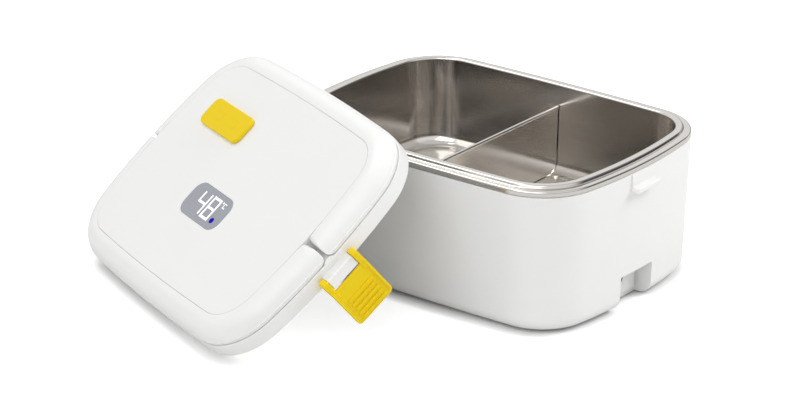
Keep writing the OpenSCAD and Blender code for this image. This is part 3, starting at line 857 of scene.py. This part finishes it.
@dataclass
class Base:
    """The white housing, the well inside it and the fittings under the tray."""

    outline: Outline
    foot_gap: float = 1.1 * MM
    height: float = 90.8 * MM
    draft: float = 3.8 * MM
    bottom_round: float = 9.3 * MM
    wall: float = 2.6 * MM
    ledge_width: float = 24 * MM
    ledge_out: float = 5.3 * MM
    ledge_low: float = 80.1 * MM
    recess_width: float = 33.4 * MM
    recess_top: float = 24.1 * MM
    recess_depth: float = 12.4 * MM
    well_floor: float = 35.35 * MM
    heater_hole: Corner = (140 * MM, 86 * MM, 16 * MM)

    @property
    def top(self) -> float:
        """Height of the steel band's lower edge."""
        return self.foot_gap + self.height

    @property
    def recess_x(self) -> float:
        """Where the recess has its back wall."""
        return self.outline.end - self.draft - self.recess_depth

    def _envelope(self) -> bpy.types.Object:
        """Returns the solid that the outer wall encloses, used to trim the recess's block."""
        deep = -30 * MM
        path = rounded(
            [
                (deep, self.foot_gap, 0),
                (-self.draft, self.foot_gap, self.bottom_round),
                (0, self.top, 0),
                (deep, self.top, 0),
            ],
            closed=False,
        )
        return Piece("envelope").sweep(self.outline.loop(), path, closed_path=False).done()

    def housing(self) -> bpy.types.Object:
        """Returns the outer shell with both strike ledges and the inlet recess."""
        top, low, wall = self.top, self.foot_gap, self.wall
        lip, step_in, band_in, hem, hem_wall = 2.7 * MM, 1.4 * MM, 3.4 * MM, 24 * MM, 28 * MM
        path = rounded(
            [
                (-hem, low, 0.3 * MM),
                (-self.draft, low, self.bottom_round),
                (0, top, 0.35 * MM),
                (-step_in, top, 0.1 * MM),
                (-step_in, top + lip, 0.3 * MM),
                (-band_in, top + lip, 0.3 * MM),
                (-band_in, top - 6 * MM, 0.5 * MM),
                (-wall - 0.1 * MM, top - 8 * MM, 0.5 * MM),
                (-self.draft - wall, low + wall, self.bottom_round - wall),
                (-hem_wall, low + wall, 0.2 * MM),
                (-hem_wall, low + 1.5 * MM, 0.2 * MM),
                (-hem, low + 1.5 * MM, 0.2 * MM),
            ]
        )
        shell = Piece("housing_shell").sweep(self.outline.loop(), path).done()
        half, lining = self.recess_width / 2, 2 * MM
        side, lintel = half + lining, self.recess_top + lining
        block_outline = [(-side, low), (side, low), (side, lintel), (-side, lintel)]
        reach = self.recess_x + self.recess_depth - 0.7 * MM
        block = Piece("block").prism(Axis.X, block_outline, self.recess_x - lining, reach).done()
        shell = combine(shell, combine(block, self._envelope(), Cut.KEEP), Cut.JOIN)
        below, beyond, corner = -5 * MM, 140 * MM, 1.2 * MM
        mouth = rounded(
            [
                (half, self.recess_top, corner),
                (-half, self.recess_top, corner),
                (-half, below, 0),
                (half, below, 0),
            ]
        )
        shell = combine(shell, Piece("mouth").prism(Axis.X, mouth, self.recess_x, beyond).done(), Cut.TAKE)
        slot = oblong(0, low + 12.5 * MM, self.recess_width - 9 * MM, 14 * MM, 0.8 * MM)
        shell = combine(shell, Piece("slot").prism(Axis.X, slot, 95 * MM, 110 * MM).done(), Cut.TAKE)
        for end in (1, -1):
            shell = combine(shell, self._strike(end), Cut.JOIN)
        return shell

    def _strike(self, end: int) -> bpy.types.Object:
        """Returns the raised pad and the ledge that a clip hooks under, at one end."""
        x, low, out = self.outline.end, self.ledge_low, self.outline.end + self.ledge_out
        inside, high, pad_top = x - 2 * MM, low + 3 * MM, self.top - 0.5 * MM
        corners = [
            (inside, low, 0),
            (out, low, 0.7 * MM),
            (out, high, 1.1 * MM),
            (x + 0.75 * MM, high, 1.6 * MM),
            (x + 0.45 * MM, pad_top, 0.4 * MM),
            (inside, pad_top, 0),
        ]
        side = [(end * u, v) for u, v in rounded(corners)]
        half = self.ledge_width / 2
        return Piece("strike").prism(Axis.Y, side, -half, half, edge=0.45 * MM).done()

    def well(self) -> bpy.types.Object:
        """Returns the inner shell that the tray hangs in, with the opening for the heater plate."""
        top, low = self.top, self.well_floor
        path = rounded(
            [
                (-FLAT_IN, low - 2 * MM, 0),
                (-16.2 * MM, low - 2 * MM, 6 * MM),
                (-8.6 * MM, low + 9 * MM, 6 * MM),
                (-6.7 * MM, top + 0.6 * MM, 0.8 * MM),
                (-3.7 * MM, top + 0.6 * MM, 0.3 * MM),
                (-3.7 * MM, top + 2.2 * MM, 0.4 * MM),
                (-8.6 * MM, top + 2.2 * MM, 0.9 * MM),
                (-10.9 * MM, low + 9 * MM, 8 * MM),
                (-14.5 * MM, low, 8 * MM),
                (-FLAT_IN, low, 0),
            ],
            closed=False,
        )
        shell = Piece("well_liner").sweep(self.outline.loop(), path, closed_path=False).done()
        hole = oblong(0, 0, *self.heater_hole)
        return combine(shell, Piece("hole").prism(Axis.Z, hole, 20 * MM, 50 * MM).done(), Cut.TAKE)

    def build(self, dress: Dresser) -> None:
        """Makes and dresses the base."""
        dress.piece(self.housing(), WHITE, "base", "housing", sharp=42)
        dress.piece(self.well(), LINING, "base", "inner_shell")
        for name, finish in {
            "bottom_cover": LINING,
            "feet": FOOT_RUBBER,
            "bottom_screws": FITTING,
            "heater_plate": ALUMINIUM,
            "heating_element": CERAMIC,
            "element_bracket": FITTING,
            "thermostat": DARK,
            "thermal_fuse": CERAMIC,
            "supply_leads": LEAD_RUBBER,
            "inlet_socket": INLET,
            "inlet_pins": FITTING,
        }.items():
            dress.node(name, finish)


# -------------------------------------------------------------------------------------------------- tray


@dataclass
class Tray:
    """The steel tray and its divider."""

    outline: Outline
    low: float
    sheet: float = 0.8 * MM
    rim: float = 10.6 * MM
    depth: float = 60 * MM
    rim_rise: float = 6 * MM
    divider_drop: float = 14 * MM

    @property
    def top(self) -> float:
        """Height of the rim."""
        return self.low + self.rim_rise

    @property
    def floor(self) -> float:
        """Height of the tray's floor."""
        return self.top - self.depth

    def pressing(self) -> bpy.types.Object:
        """Returns the tray as one pressed sheet, from the middle of its underside over the rim and back."""
        t, low, rim, top = self.sheet, self.low, self.rim, self.top
        shoulder = low + 4 * MM
        inner = -rim - 2.4 * MM
        path = rounded(
            [
                (-FLAT_IN, self.floor - t, 0),
                (inner + 0.6 * MM, self.floor - t, 9 * MM),
                (-rim + t, top - 2 * MM, 0.8 * MM),
                (-8.4 * MM, top - t, 0.6 * MM),
                (-6.9 * MM, top - t, 0.5 * MM),
                (-5.9 * MM, shoulder - t, 0.4 * MM),
                (-1.5 * MM, shoulder - t, 0.8 * MM),
                (-t, low + 2.2 * MM, 0.6 * MM),
                (-t, low + 0.3 * MM, 0.3 * MM),
                (0, low + 0.3 * MM, 0.3 * MM),
                (0, shoulder, 1.35 * MM),
                (-5.0 * MM, shoulder, 0.7 * MM),
                (-5.7 * MM, top, 1.3 * MM),
                (-rim, top, 1.5 * MM),
                (inner, self.floor, 8 * MM),
                (-FLAT_IN, self.floor, 0),
            ],
            closed=False,
        )
        return Piece("tray_pressing").sweep(self.outline.loop(), path, closed_path=False).done()

    def divider(self) -> bpy.types.Object:
        """Returns the divider: a sheet with a rolled top edge, bent end tabs and a bent foot."""
        top, floor = self.top - self.divider_drop, self.floor
        reach = self.outline.side - self.rim - 1.2 * MM
        low, roll, tab_width = reach - 2 * MM, 1.15 * MM, 7.5 * MM
        piece = Piece("divider_sheet")
        sheet = rounded(
            [
                (reach, top - 1 * MM, 0),
                (low, floor + 0.4 * MM, 8 * MM),
                (-low, floor + 0.4 * MM, 8 * MM),
                (-reach, top - 1 * MM, 0),
            ]
        )
        piece.prism(Axis.X, sheet, -0.45 * MM, 0.45 * MM, edge=0.15 * MM)
        piece.rod(Axis.Y, 0, top - roll, roll, -reach, reach, edge=0.35 * MM)
        for side in (1, -1):
            tab = [
                (side * reach, top - 1.5 * MM),
                (side * (reach - 0.8 * MM), top - 1.5 * MM),
                (side * (low - 0.4 * MM), floor + 14 * MM),
                (side * (low + 0.3 * MM), floor + 14 * MM),
            ]
            piece.prism(Axis.X, tab, -tab_width, 0.3 * MM, edge=0.2 * MM)
        foot = [
            (-tab_width, floor + 0.3 * MM, 0.3 * MM),
            (0.4 * MM, floor + 0.3 * MM, 0.7 * MM),
            (0.4 * MM, floor + 1.6 * MM, 0),
            (-0.4 * MM, floor + 1.6 * MM, 0.4 * MM),
            (-0.9 * MM, floor + 1.1 * MM, 0.4 * MM),
            (-tab_width, floor + 1.1 * MM, 0.3 * MM),
        ]
        foot_end = low - 9 * MM
        piece.prism(Axis.Y, rounded(foot), -foot_end, foot_end, edge=0.2 * MM)
        return piece.done()

    def build(self, dress: Dresser) -> None:
        """Makes and dresses the tray and the divider."""
        dress.piece(self.pressing(), STEEL, "tray", "tray", sharp=50)
        dress.piece(self.divider(), STEEL, "divider", "divider")


# --------------------------------------------------------------------------------------------------- lid


@dataclass
class Lid:
    """The leaning lid with its handles, clips, vent plug and display."""

    outline: Outline
    place: Matrix
    height: float = 23 * MM
    ring_height: float = 10.1 * MM
    ring_gap: float = 0.4 * MM
    inset: float = 0.5 * MM
    seam: float = 15.4 * MM
    handle_round: float = 11.7 * MM
    handle_gap: float = 2.4 * MM
    fold_room: float = 0.3 * MM
    pivot_y: float = 7.2 * MM
    seat: float = 3.5 * MM
    vent_at: Point = (-50.2 * MM, 33.4 * MM)
    window_at: Point = (-2.9 * MM, -18.1 * MM)
    window_edge: float = 0.45 * MM
    lug_width: float = 20.8 * MM
    clip_width: float = 29.8 * MM
    clip_x: float = 122.9 * MM
    clip_z: float = 3.4 * MM
    ribs: int = 5
    first_rib: float = -14.7 * MM
    rib_pitch: float = 3.9 * MM
    clip_rest: float = math.radians(3)

    @classmethod
    def leaning(cls, outline: Outline, record: Mapping) -> "Lid":
        """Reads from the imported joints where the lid's own frame stands.

        Args:
            outline: The shared outline.
            record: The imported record.

        Returns:
            The lid, in its place.
        """
        joints = {j["name"]: j for j in record["behaviour"]["joints"]}
        along = Vector(joints["rear_handle_fold"]["axis"]).normalized()
        up = Vector(joints["lid_away"]["axis"]).normalized()
        across = up.cross(along).normalized()
        front, rear = (Vector(joints[f"{side}_handle_fold"]["pos_m"]) for side in ("front", "rear"))
        pivot_z = (cls.height + cls.ring_height + cls.ring_gap) / 2
        origin = (front + rear) / 2 - up * pivot_z
        turn = Matrix((along, across, up)).transposed().to_4x4()
        return cls(outline, Matrix.Translation(origin) @ turn)

    def skirt(self) -> bpy.types.Object:
        """Returns the lower ring with its shelf, the wall under the top, two lugs and the saddles."""
        out, shelf, lip = -self.inset, self.ring_height, self.seat + 1.9 * MM
        wall, wall_in = -self.seam - 0.1 * MM, -self.seam - 2.3 * MM
        wall_top = self.height - 2.6 * MM
        groove_out, groove_in, seat_in = -4.6 * MM, -12.6 * MM, -14.4 * MM
        path = rounded(
            [
                (out, 0, 1.1 * MM),
                (out, shelf, 0.55 * MM),
                (wall, shelf, 0.3 * MM),
                (wall, wall_top, 0.1 * MM),
                (wall_in, wall_top, 0.1 * MM),
                (wall_in, lip, 0.2 * MM),
                (seat_in, lip, 0.2 * MM),
                (seat_in, 3.4 * MM, 0.3 * MM),
                (groove_in, 3.4 * MM, 0.3 * MM),
                (groove_in, 7.9 * MM, 0.2 * MM),
                (groove_out, 7.9 * MM, 0.2 * MM),
                (groove_out, 0, 0.6 * MM),
            ]
        )
        ring = Piece("lid_skirt").sweep(self.outline.loop(), path).done()
        for end in (1, -1):
            ring = combine(ring, self._lug(end), Cut.JOIN)
            ring = combine(ring, self._saddle(end), Cut.JOIN)
        ring.data.transform(self.place)
        return ring

    def _lug(self, end: int) -> bpy.types.Object:
        """Returns the block at one end that carries a clip's pin."""
        x = self.outline.end
        corners = [
            (x - 2 * MM, 0.6 * MM, 0),
            (x + 0.3 * MM, 0.6 * MM, 0.4 * MM),
            (x + 0.5 * MM, -1.8 * MM, 0.3 * MM),
            (x + 5.6 * MM, -1.8 * MM, 0.4 * MM),
            (x + 7.2 * MM, -1.1 * MM, 0.4 * MM),
            (x + 6 * MM, 4.7 * MM, 0.4 * MM),
            (x + 5.3 * MM, 5.45 * MM, 0.4 * MM),
            (x - 2 * MM, 5.8 * MM, 0),
        ]
        side = [(end * u, v) for u, v in rounded(corners)]
        half = self.lug_width / 2
        return Piece("lug").prism(Axis.Y, side, -half, half, edge=0.35 * MM).done()

    def _saddle(self, end: int) -> bpy.types.Object:
        """Returns the low ridge between the handle ends at one end."""
        shelf = self.ring_height
        corners = [
            (-4.4 * MM, shelf - 0.6 * MM, 0),
            (-4.4 * MM, shelf - 0.1 * MM, 0),
            (-1.5 * MM, shelf + 1.7 * MM, 1 * MM),
            (1.5 * MM, shelf + 1.7 * MM, 1 * MM),
            (4.4 * MM, shelf - 0.1 * MM, 0),
            (4.4 * MM, shelf - 0.6 * MM, 0),
        ]
        reach = sorted((end * (self.outline.end - self.seam - 0.5 * MM), end * (self.outline.end - 1 * MM)))
        return Piece("saddle").prism(Axis.X, rounded(corners), *reach, edge=0.3 * MM).done()

    def handle(self, name: str, rear: bool) -> bpy.types.Object:
        """A U-shaped carry handle that lies round half of the lid.

        Args:
            name: The piece's name.
            rear: Whether it is the rear one.

        Returns:
            The handle, with both ends rounded about its pivots.
        """
        low, out, tip = self.ring_height + self.ring_gap, -self.inset, self.handle_gap / 2
        inner, crown = -self.seam + 0.4 * MM, self.height - self.handle_round
        middle = out - 0.45 * MM - self.handle_round
        bulge = [(u, v, 0) for u, v in arc(middle, crown, self.handle_round, 13, 90, 12)]
        path = rounded(
            [
                (inner, self.height - 0.5 * MM, 0),
                (inner, low, 0.5 * MM),
                (out - 0.9 * MM, low, 0.35 * MM),
                (out - 0.2 * MM, low + 2.6 * MM, 0.25 * MM),
                (out - 0.75 * MM, low + 3.1 * MM, 0.1 * MM),
                *bulge,
                (inner + 0.4 * MM, self.height, 0),
                (inner + 0.1 * MM, self.height - 0.1 * MM, 0),
            ]
        )
        pivot = Vector((self.pivot_y, (self.height + low) / 2))
        reach = (self.height - low) / 2
        top_round, plan_round, taper, easing = 4 * MM, 2.2 * MM, 3.4 * MM, 0.5 * MM

        def trim(point: Point, turn: Turn) -> Point:
            """Pulls a profile point in where the handle's end is rounded, and returns it."""
            off, z = point
            y = abs(turn.at(0)[1])
            room = self.fold_room * (1 - smoothstep(y, 12 * MM, 18 * MM))
            if y >= pivot.x + 1 * MM:
                return max(off, inner + room), z
            floor_z = pivot.y - math.sqrt(max(reach**2 - min(0.0, y - pivot.x) ** 2, 0.0))
            ceiling = self.height - hollow(y - tip, top_round)
            z = soft_clamp(z, floor_z, ceiling, easing)
            outer, inward = (hollow(y - tip, size) for size in (plan_round, taper))
            return soft_clamp(off, inner + max(room, 1.3 * inward), out - outer, easing), z

        # Distances of the stations from the handle's end, close together where it is rounded
        fine = [0, 0.04, 0.15, 0.35, 0.65, 1.05, 1.6, 2.2, 3, 4, 5, 6, 7.5, 12, 20, 28, 36]
        stops = [tip + s * MM for s in fine]
        piece = Piece(name).sweep(self.outline.front_half(stops), path, loop=False, shape=trim)
        mirror = Matrix.Scale(-1, 4, Vector((0, 1, 0))) if rear else Matrix.Identity(4)
        made = piece.done(self.place @ mirror)
        if rear:
            made.data.flip_normals()
        return made

    def top(self) -> bpy.types.Object:
        """Returns the top panel with the openings for the display and the vent."""
        low, rim, above = self.height - 2.4 * MM, -self.seam + 0.3 * MM, 40 * MM
        path = rounded(
            [
                (-FLAT_IN, low, 0),
                (rim, low, 0.2 * MM),
                (rim, self.height, 0.12 * MM),
                (-FLAT_IN, self.height, 0),
            ],
            closed=False,
        )
        panel = Piece("lid_top").sweep(self.outline.loop(), path, closed_path=False).done()
        window = oblong(*self.window_at, 48.7 * MM, 24.5 * MM, 8 * MM)
        opening = oblong(*self.window_at, 43.4 * MM, 20.2 * MM, 5 * MM)
        vent = oblong(*self.vent_at, 32.8 * MM, 9.8 * MM, 3 * MM)
        for outline, start in ((window, self.height - 1.7 * MM), (opening, 0.0), (vent, 0.0)):
            panel = combine(panel, Piece("tool").prism(Axis.Z, outline, start, above).done(), Cut.TAKE)
        panel.data.transform(self.place)
        return panel

    def gasket(self) -> bpy.types.Object:
        """Returns the silicone seal with its rounded lip."""
        path = rounded(
            [
                (-4.8 * MM, 5.2 * MM, 0.4 * MM),
                (-4.8 * MM, 7.7 * MM, 0.4 * MM),
                (-12.4 * MM, 7.7 * MM, 0.4 * MM),
                (-12.4 * MM, 5.2 * MM, 0.4 * MM),
                (-9.9 * MM, 4.7 * MM, 0.8 * MM),
                (-9.3 * MM, 1.9 * MM, 0.8 * MM),
                (-7.3 * MM, 1.9 * MM, 0.8 * MM),
                (-6.8 * MM, 4.7 * MM, 0.8 * MM),
            ]
        )
        return Piece("lid_seal").sweep(self.outline.loop(), path).done(self.place)

    def vent_plug(self) -> bpy.types.Object:
        """Returns the vent's soft cap with its plug and two shallow finger marks."""
        x, y = self.vent_at
        base = self.height + 0.05 * MM
        top = base + 2.8 * MM
        piece = Piece("vent_plug")
        piece.prism(Axis.Z, oblong(x, y, 51 * MM, 20.2 * MM, 5 * MM), base, top, edge=0.8 * MM)
        for side in (1, -1):
            mark = oblong(x + side * 9.2 * MM, y, 9 * MM, 6 * MM, 2.9 * MM)
            piece.prism(Axis.Z, mark, top - 0.2 * MM, top + 0.15 * MM, edge=0.12 * MM)
        stem = oblong(x, y, 31.6 * MM, 8.6 * MM, 2.6 * MM)
        piece.prism(Axis.Z, stem, base - 6 * MM, base + 0.5 * MM, edge=0.4 * MM)
        return piece.done(self.place)

    def clip(self, name: str, end: int) -> bpy.types.Object:
        """A latch clip: ears on the pin, plate with side rails, finger ribs and a hook.

        Args:
            name: The piece's name.
            end: 1 at the +X end of the lid, -1 at the other.

        Returns:
            The clip, hanging from its pin.
        """
        x, z = self.clip_x, self.clip_z
        face, back = 127.35 * MM, 124.8 * MM
        half, low, brow = self.clip_width / 2, -33.5 * MM, (face - back) / 2
        top, brow_end = -2.3 * MM - brow, half - 1 * MM
        piece = Piece(name)
        plate = rounded([(half, top, 0), (-half, top, 0), (-half, low, 3 * MM), (half, low, 3 * MM)])
        piece.prism(Axis.X, plate, back, face, edge=0.7 * MM)
        piece.rod(Axis.Y, back + brow, top, brow, -brow_end, brow_end)
        for side in (1, -1):
            ear = [
                *arc(x, z, 4.1 * MM, 20, 190, 14),
                (x - 2.6 * MM, -0.5 * MM),
                (back + 0.5 * MM, -6 * MM),
                (back + 1 * MM, -9 * MM),
                *arc(face - 0.95 * MM, -6.2 * MM, 1.6 * MM, -60, 0, 4),
            ]
            ear_in = self.lug_width / 2 + 0.3 * MM
            piece.prism(Axis.Y, ear, *sorted((side * ear_in, side * half)), edge=0.9 * MM)
            rail_out, rail_in = side * half, side * (half - 2 * MM)
            rail_top, rail_low = -1 * MM, low + 2.4 * MM
            rail = rounded(
                [
                    (rail_out, rail_top, 0.6 * MM),
                    (rail_in, rail_top, 0.6 * MM),
                    (rail_in, rail_low, 1 * MM),
                    (rail_out, rail_low, 1 * MM),
                ]
            )
            piece.prism(Axis.X, rail, back + 0.4 * MM, face + 0.75 * MM, edge=0.5 * MM)
        for i in range(self.ribs):
            rib = oblong(0, self.first_rib - i * self.rib_pitch, 20.6 * MM, 2.2 * MM, 1.0 * MM)
            piece.prism(Axis.X, rib, back + 1 * MM, face + 0.95 * MM, edge=0.45 * MM)
        hook = [
            (back + 0.8 * MM, -19.4 * MM, 0),
            (back - 2.4 * MM, -18.8 * MM, 0.5 * MM),
            (back - 4 * MM, -17.4 * MM, 0.5 * MM),
            (back - 4 * MM, -16.3 * MM, 0.4 * MM),
            (back + 0.8 * MM, -16.3 * MM, 0),
        ]
        piece.prism(Axis.Y, rounded(hook), -9 * MM, 9 * MM, edge=0.3 * MM)
        pin = Vector((x, 0, z))
        hang = Matrix.Translation(pin) @ Matrix.Rotation(self.clip_rest, 4, "Y") @ Matrix.Translation(-pin)
        mirror = Matrix.Scale(end, 4, Vector((1, 0, 0)))
        made = piece.done(self.place @ mirror @ hang)
        if end < 0:
            made.data.flip_normals()
        return made

    def build(self, dress: Dresser) -> None:
        """Makes and dresses the lid."""
        dress.piece(self.skirt(), WHITE, "lid", "lid_ring", sharp=42)
        dress.piece(self.top(), WHITE, "lid", "top_panel", sharp=42)
        dress.piece(self.gasket(), SEAL_RUBBER, "lid", "gasket")
        dress.piece(self.handle("handle_front_grip", False), WHITE, "front_handle", "handle_front", sharp=50)
        dress.piece(self.handle("handle_rear_grip", True), WHITE, "rear_handle", "handle_rear", sharp=50)
        dress.piece(self.clip("clip_near_latch", 1), YELLOW, "near_clip", "clip_near")
        dress.piece(self.clip("clip_far_latch", -1), YELLOW, "far_clip", "clip_far")
        dress.piece(self.vent_plug(), YELLOW, "vent_cap", "vent_cap")
        for name, finish in {
            "inner_plate": LINING,
            "lid_screws": FITTING,
            "handle_pins": FITTING,
            "clip_pins": FITTING,
            "display_window": WINDOW,
            "display_digits": DIGITS,
            "status_light": LAMP,
            "display_board": BOARD,
            "battery": FITTING,
            "temperature_probe": FITTING,
        }.items():
            dress.node(name, finish, self.window_edge if finish is WINDOW else SOFT_EDGE)


def hollow(along: float, radius: float) -> float:
    """Returns how far a round corner of the given radius lies inside its square one, along from its end."""
    if along >= radius:
        return 0.0
    return radius - math.sqrt(max(radius**2 - (radius - along) ** 2, 0.0))


def smoothstep(value: float, low: float, high: float) -> float:
    """Returns a smooth rise from 0 at low to 1 at high."""
    share = min(1.0, max(0.0, (value - low) / (high - low)))
    return share * share * (3 - 2 * share)


def soft_clamp(value: float, low: float, high: float, blend: float) -> float:
    """Keeps a value between two limits, with rounded ends.

    Args:
        value: The value.
        low, high: The limits.
        blend: How far from a limit the rounding starts.

    Returns:
        The value, eased into the limits.
    """
    if high - low < 2 * blend:
        blend = max((high - low) / 2, 1e-9)
    if value < low + blend:
        value = low + blend * math.exp((value - low - blend) / blend)
    if value > high - blend:
        value = high - blend * math.exp((high - blend - value) / blend)
    return value


# -------------------------------------------------------------------------------------------------- room


@dataclass(frozen=True)
class Camera:
    """The photograph's camera: where it looks, from which side, and how long its lens is."""

    target: Vector = field(default_factory=lambda: Vector((-46.17 * MM, -31.88 * MM, 40 * MM)))
    azimuth: float = math.radians(38.631)
    elevation: float = math.radians(22.122)
    roll: float = math.radians(-0.206)
    distance: float = 2155.71 * MM
    lens: float = 152.025
    sensor: float = 36.0
    farthest: float = 30.0

    def place(self) -> None:
        """Puts the camera into the scene."""
        data = bpy.data.cameras.new("camera")
        data.lens = self.lens
        data.sensor_width = self.sensor
        data.clip_end = self.farthest
        camera = bpy.data.objects.new("camera", data)
        back = Vector(
            (
                math.sin(self.azimuth) * math.cos(self.elevation),
                -math.cos(self.azimuth) * math.cos(self.elevation),
                math.sin(self.elevation),
            )
        )
        right = (-back).cross(Vector((0, 0, 1))).normalized()
        up = right.cross(-back)
        tilted_right = right * math.cos(self.roll) + up * math.sin(self.roll)
        tilted_up = up * math.cos(self.roll) - right * math.sin(self.roll)
        camera.matrix_world = (
            Matrix.Translation(self.target + back * self.distance)
            @ Matrix((tilted_right, tilted_up, back)).transposed().to_4x4()
        )
        bpy.context.scene.collection.objects.link(camera)
        bpy.context.scene.camera = camera


@dataclass(frozen=True)
class Lamp:
    """One soft box, which steel may or may not mirror."""

    name: str
    at: Triple
    size: float
    power: float
    mirrored: bool = True

    def place(self, target: Vector) -> None:
        """Hangs the lamp and turns it towards a point."""
        data = bpy.data.lights.new(self.name, "AREA")
        data.shape = "SQUARE"
        data.size = self.size
        data.energy = self.power
        lamp = bpy.data.objects.new(self.name, data)
        lamp.location = self.at
        lamp.rotation_euler = (target - Vector(self.at)).to_track_quat("-Z", "Y").to_euler()
        lamp.visible_glossy = self.mirrored
        bpy.context.scene.collection.objects.link(lamp)


@dataclass
class Studio:
    """A white table in a white room, lit softly from the front, the upper left and the right behind."""

    ambient: float = 0.55
    aim: Triple = (0.0, 0.0, 50 * MM)
    horizon: float = 0.2
    wall_gain: float = 0.85
    ceiling_loss: float = 0.25
    corner_loss: float = 0.75
    floor_size: float = 8.0
    floor_drop: float = 0.1 * MM
    floor_tone: float = 0.82
    floor_roughness: float = 0.9
    lift: float = 0.62
    # How far the table's painted contact shade reaches, and how many samples it takes.
    contact: float = 10 * MM
    contact_samples: int = 12
    lamps: tuple[Lamp, ...] = (
        Lamp("front", (0.35, -1.9, 1.8), 2.0, 20.0),
        Lamp("upper_left", (-1.2, -0.2, 2.4), 1.0, 13.0),
        Lamp("right_behind", (1.4, 1.4, 1.7), 1.2, 31.0, mirrored=False),
    )

    def build(self) -> None:
        """Makes the world, the floor and the lamps."""
        scene = bpy.context.scene
        scene.view_settings.view_transform = "Standard"
        self._world()
        self._floor()
        for lamp in self.lamps:
            lamp.place(Vector(self.aim))

    def _world(self) -> None:
        """Makes a room that is white where it is seen, even as light, and has dark corners in reflections."""
        world = bpy.data.worlds.new("room")
        bpy.context.scene.world = world
        g = Graph(world, "ShaderNodeOutputWorld")
        camera, through, mirror = (g.ray(kind) for kind in ("Camera", "Transmission", "Glossy"))
        way = g.node("ShaderNodeTexCoord", {}, {}, "Generated")
        east, north, height = (g.part(way, axis) for axis in Axis)
        rising = self.horizon + self.wall_gain * height.step(0.08, 0.36)
        bands = rising - self.ceiling_loss * height.step(0.7, 0.9)
        mirrored = bands * (1.0 - self.corner_loss * east.step(0.05, 0.35) * north.step(0.15, 0.55))
        light = self.ambient + mirror * (mirrored - self.ambient)
        seen = camera.either(through)
        strength = light + seen * (1.0 - light)
        sockets = {"Color": PURE_WHITE, "Strength": strength}
        g.surface(g.node("ShaderNodeBackground", {}, sockets, "Background"))

    def _floor(self) -> None:
        """Makes a white table that keeps the cast shadows, with painted contact shade where something nearly
        touches it.
        """
        half, quadrants = self.floor_size / 2, ((-1, -1), (1, -1), (1, 1), (-1, 1))
        piece = Piece("floor")
        points = [Vector((x * half, y * half, -self.floor_drop)) for x, y in quadrants]
        piece.mesh.faces.new([piece.mesh.verts.new(p) for p in points])
        floor = piece.done()
        material = bpy.data.materials.new("table_top")
        g = Graph(material, "ShaderNodeOutputMaterial")
        settings, reach = {"samples": self.contact_samples}, {"Distance": self.contact}
        contact_shade = g.node("ShaderNodeAmbientOcclusion", settings, reach, "AO")
        tone = self.floor_tone
        g.principled(
            {
                "Base Color": (tone, tone, tone, 1.0),
                "Roughness": self.floor_roughness,
                "Emission Color": PURE_WHITE,
                # Painted contact shadow: the camera-only lift fades by ambient occlusion where something
                # nearly touches the table.
                "Emission Strength": self.lift * g.ray("Camera") * contact_shade * contact_shade,
            }
        )
        floor.data.materials.append(material)


def main() -> None:
    """Builds the room and the dressed lunch box, and reports each piece."""
    logging.basicConfig(level=logging.INFO, format="%(name)s: %(message)s", stream=sys.stdout)
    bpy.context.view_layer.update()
    Camera().place()
    Studio().build()
    outline = Outline()
    dress = Dresser()
    base = Base(outline)
    base.build(dress)
    Tray(outline, base.top).build(dress)
    Lid.leaning(outline, frame["record"]).build(dress)


if __name__ == "__main__":
    main()
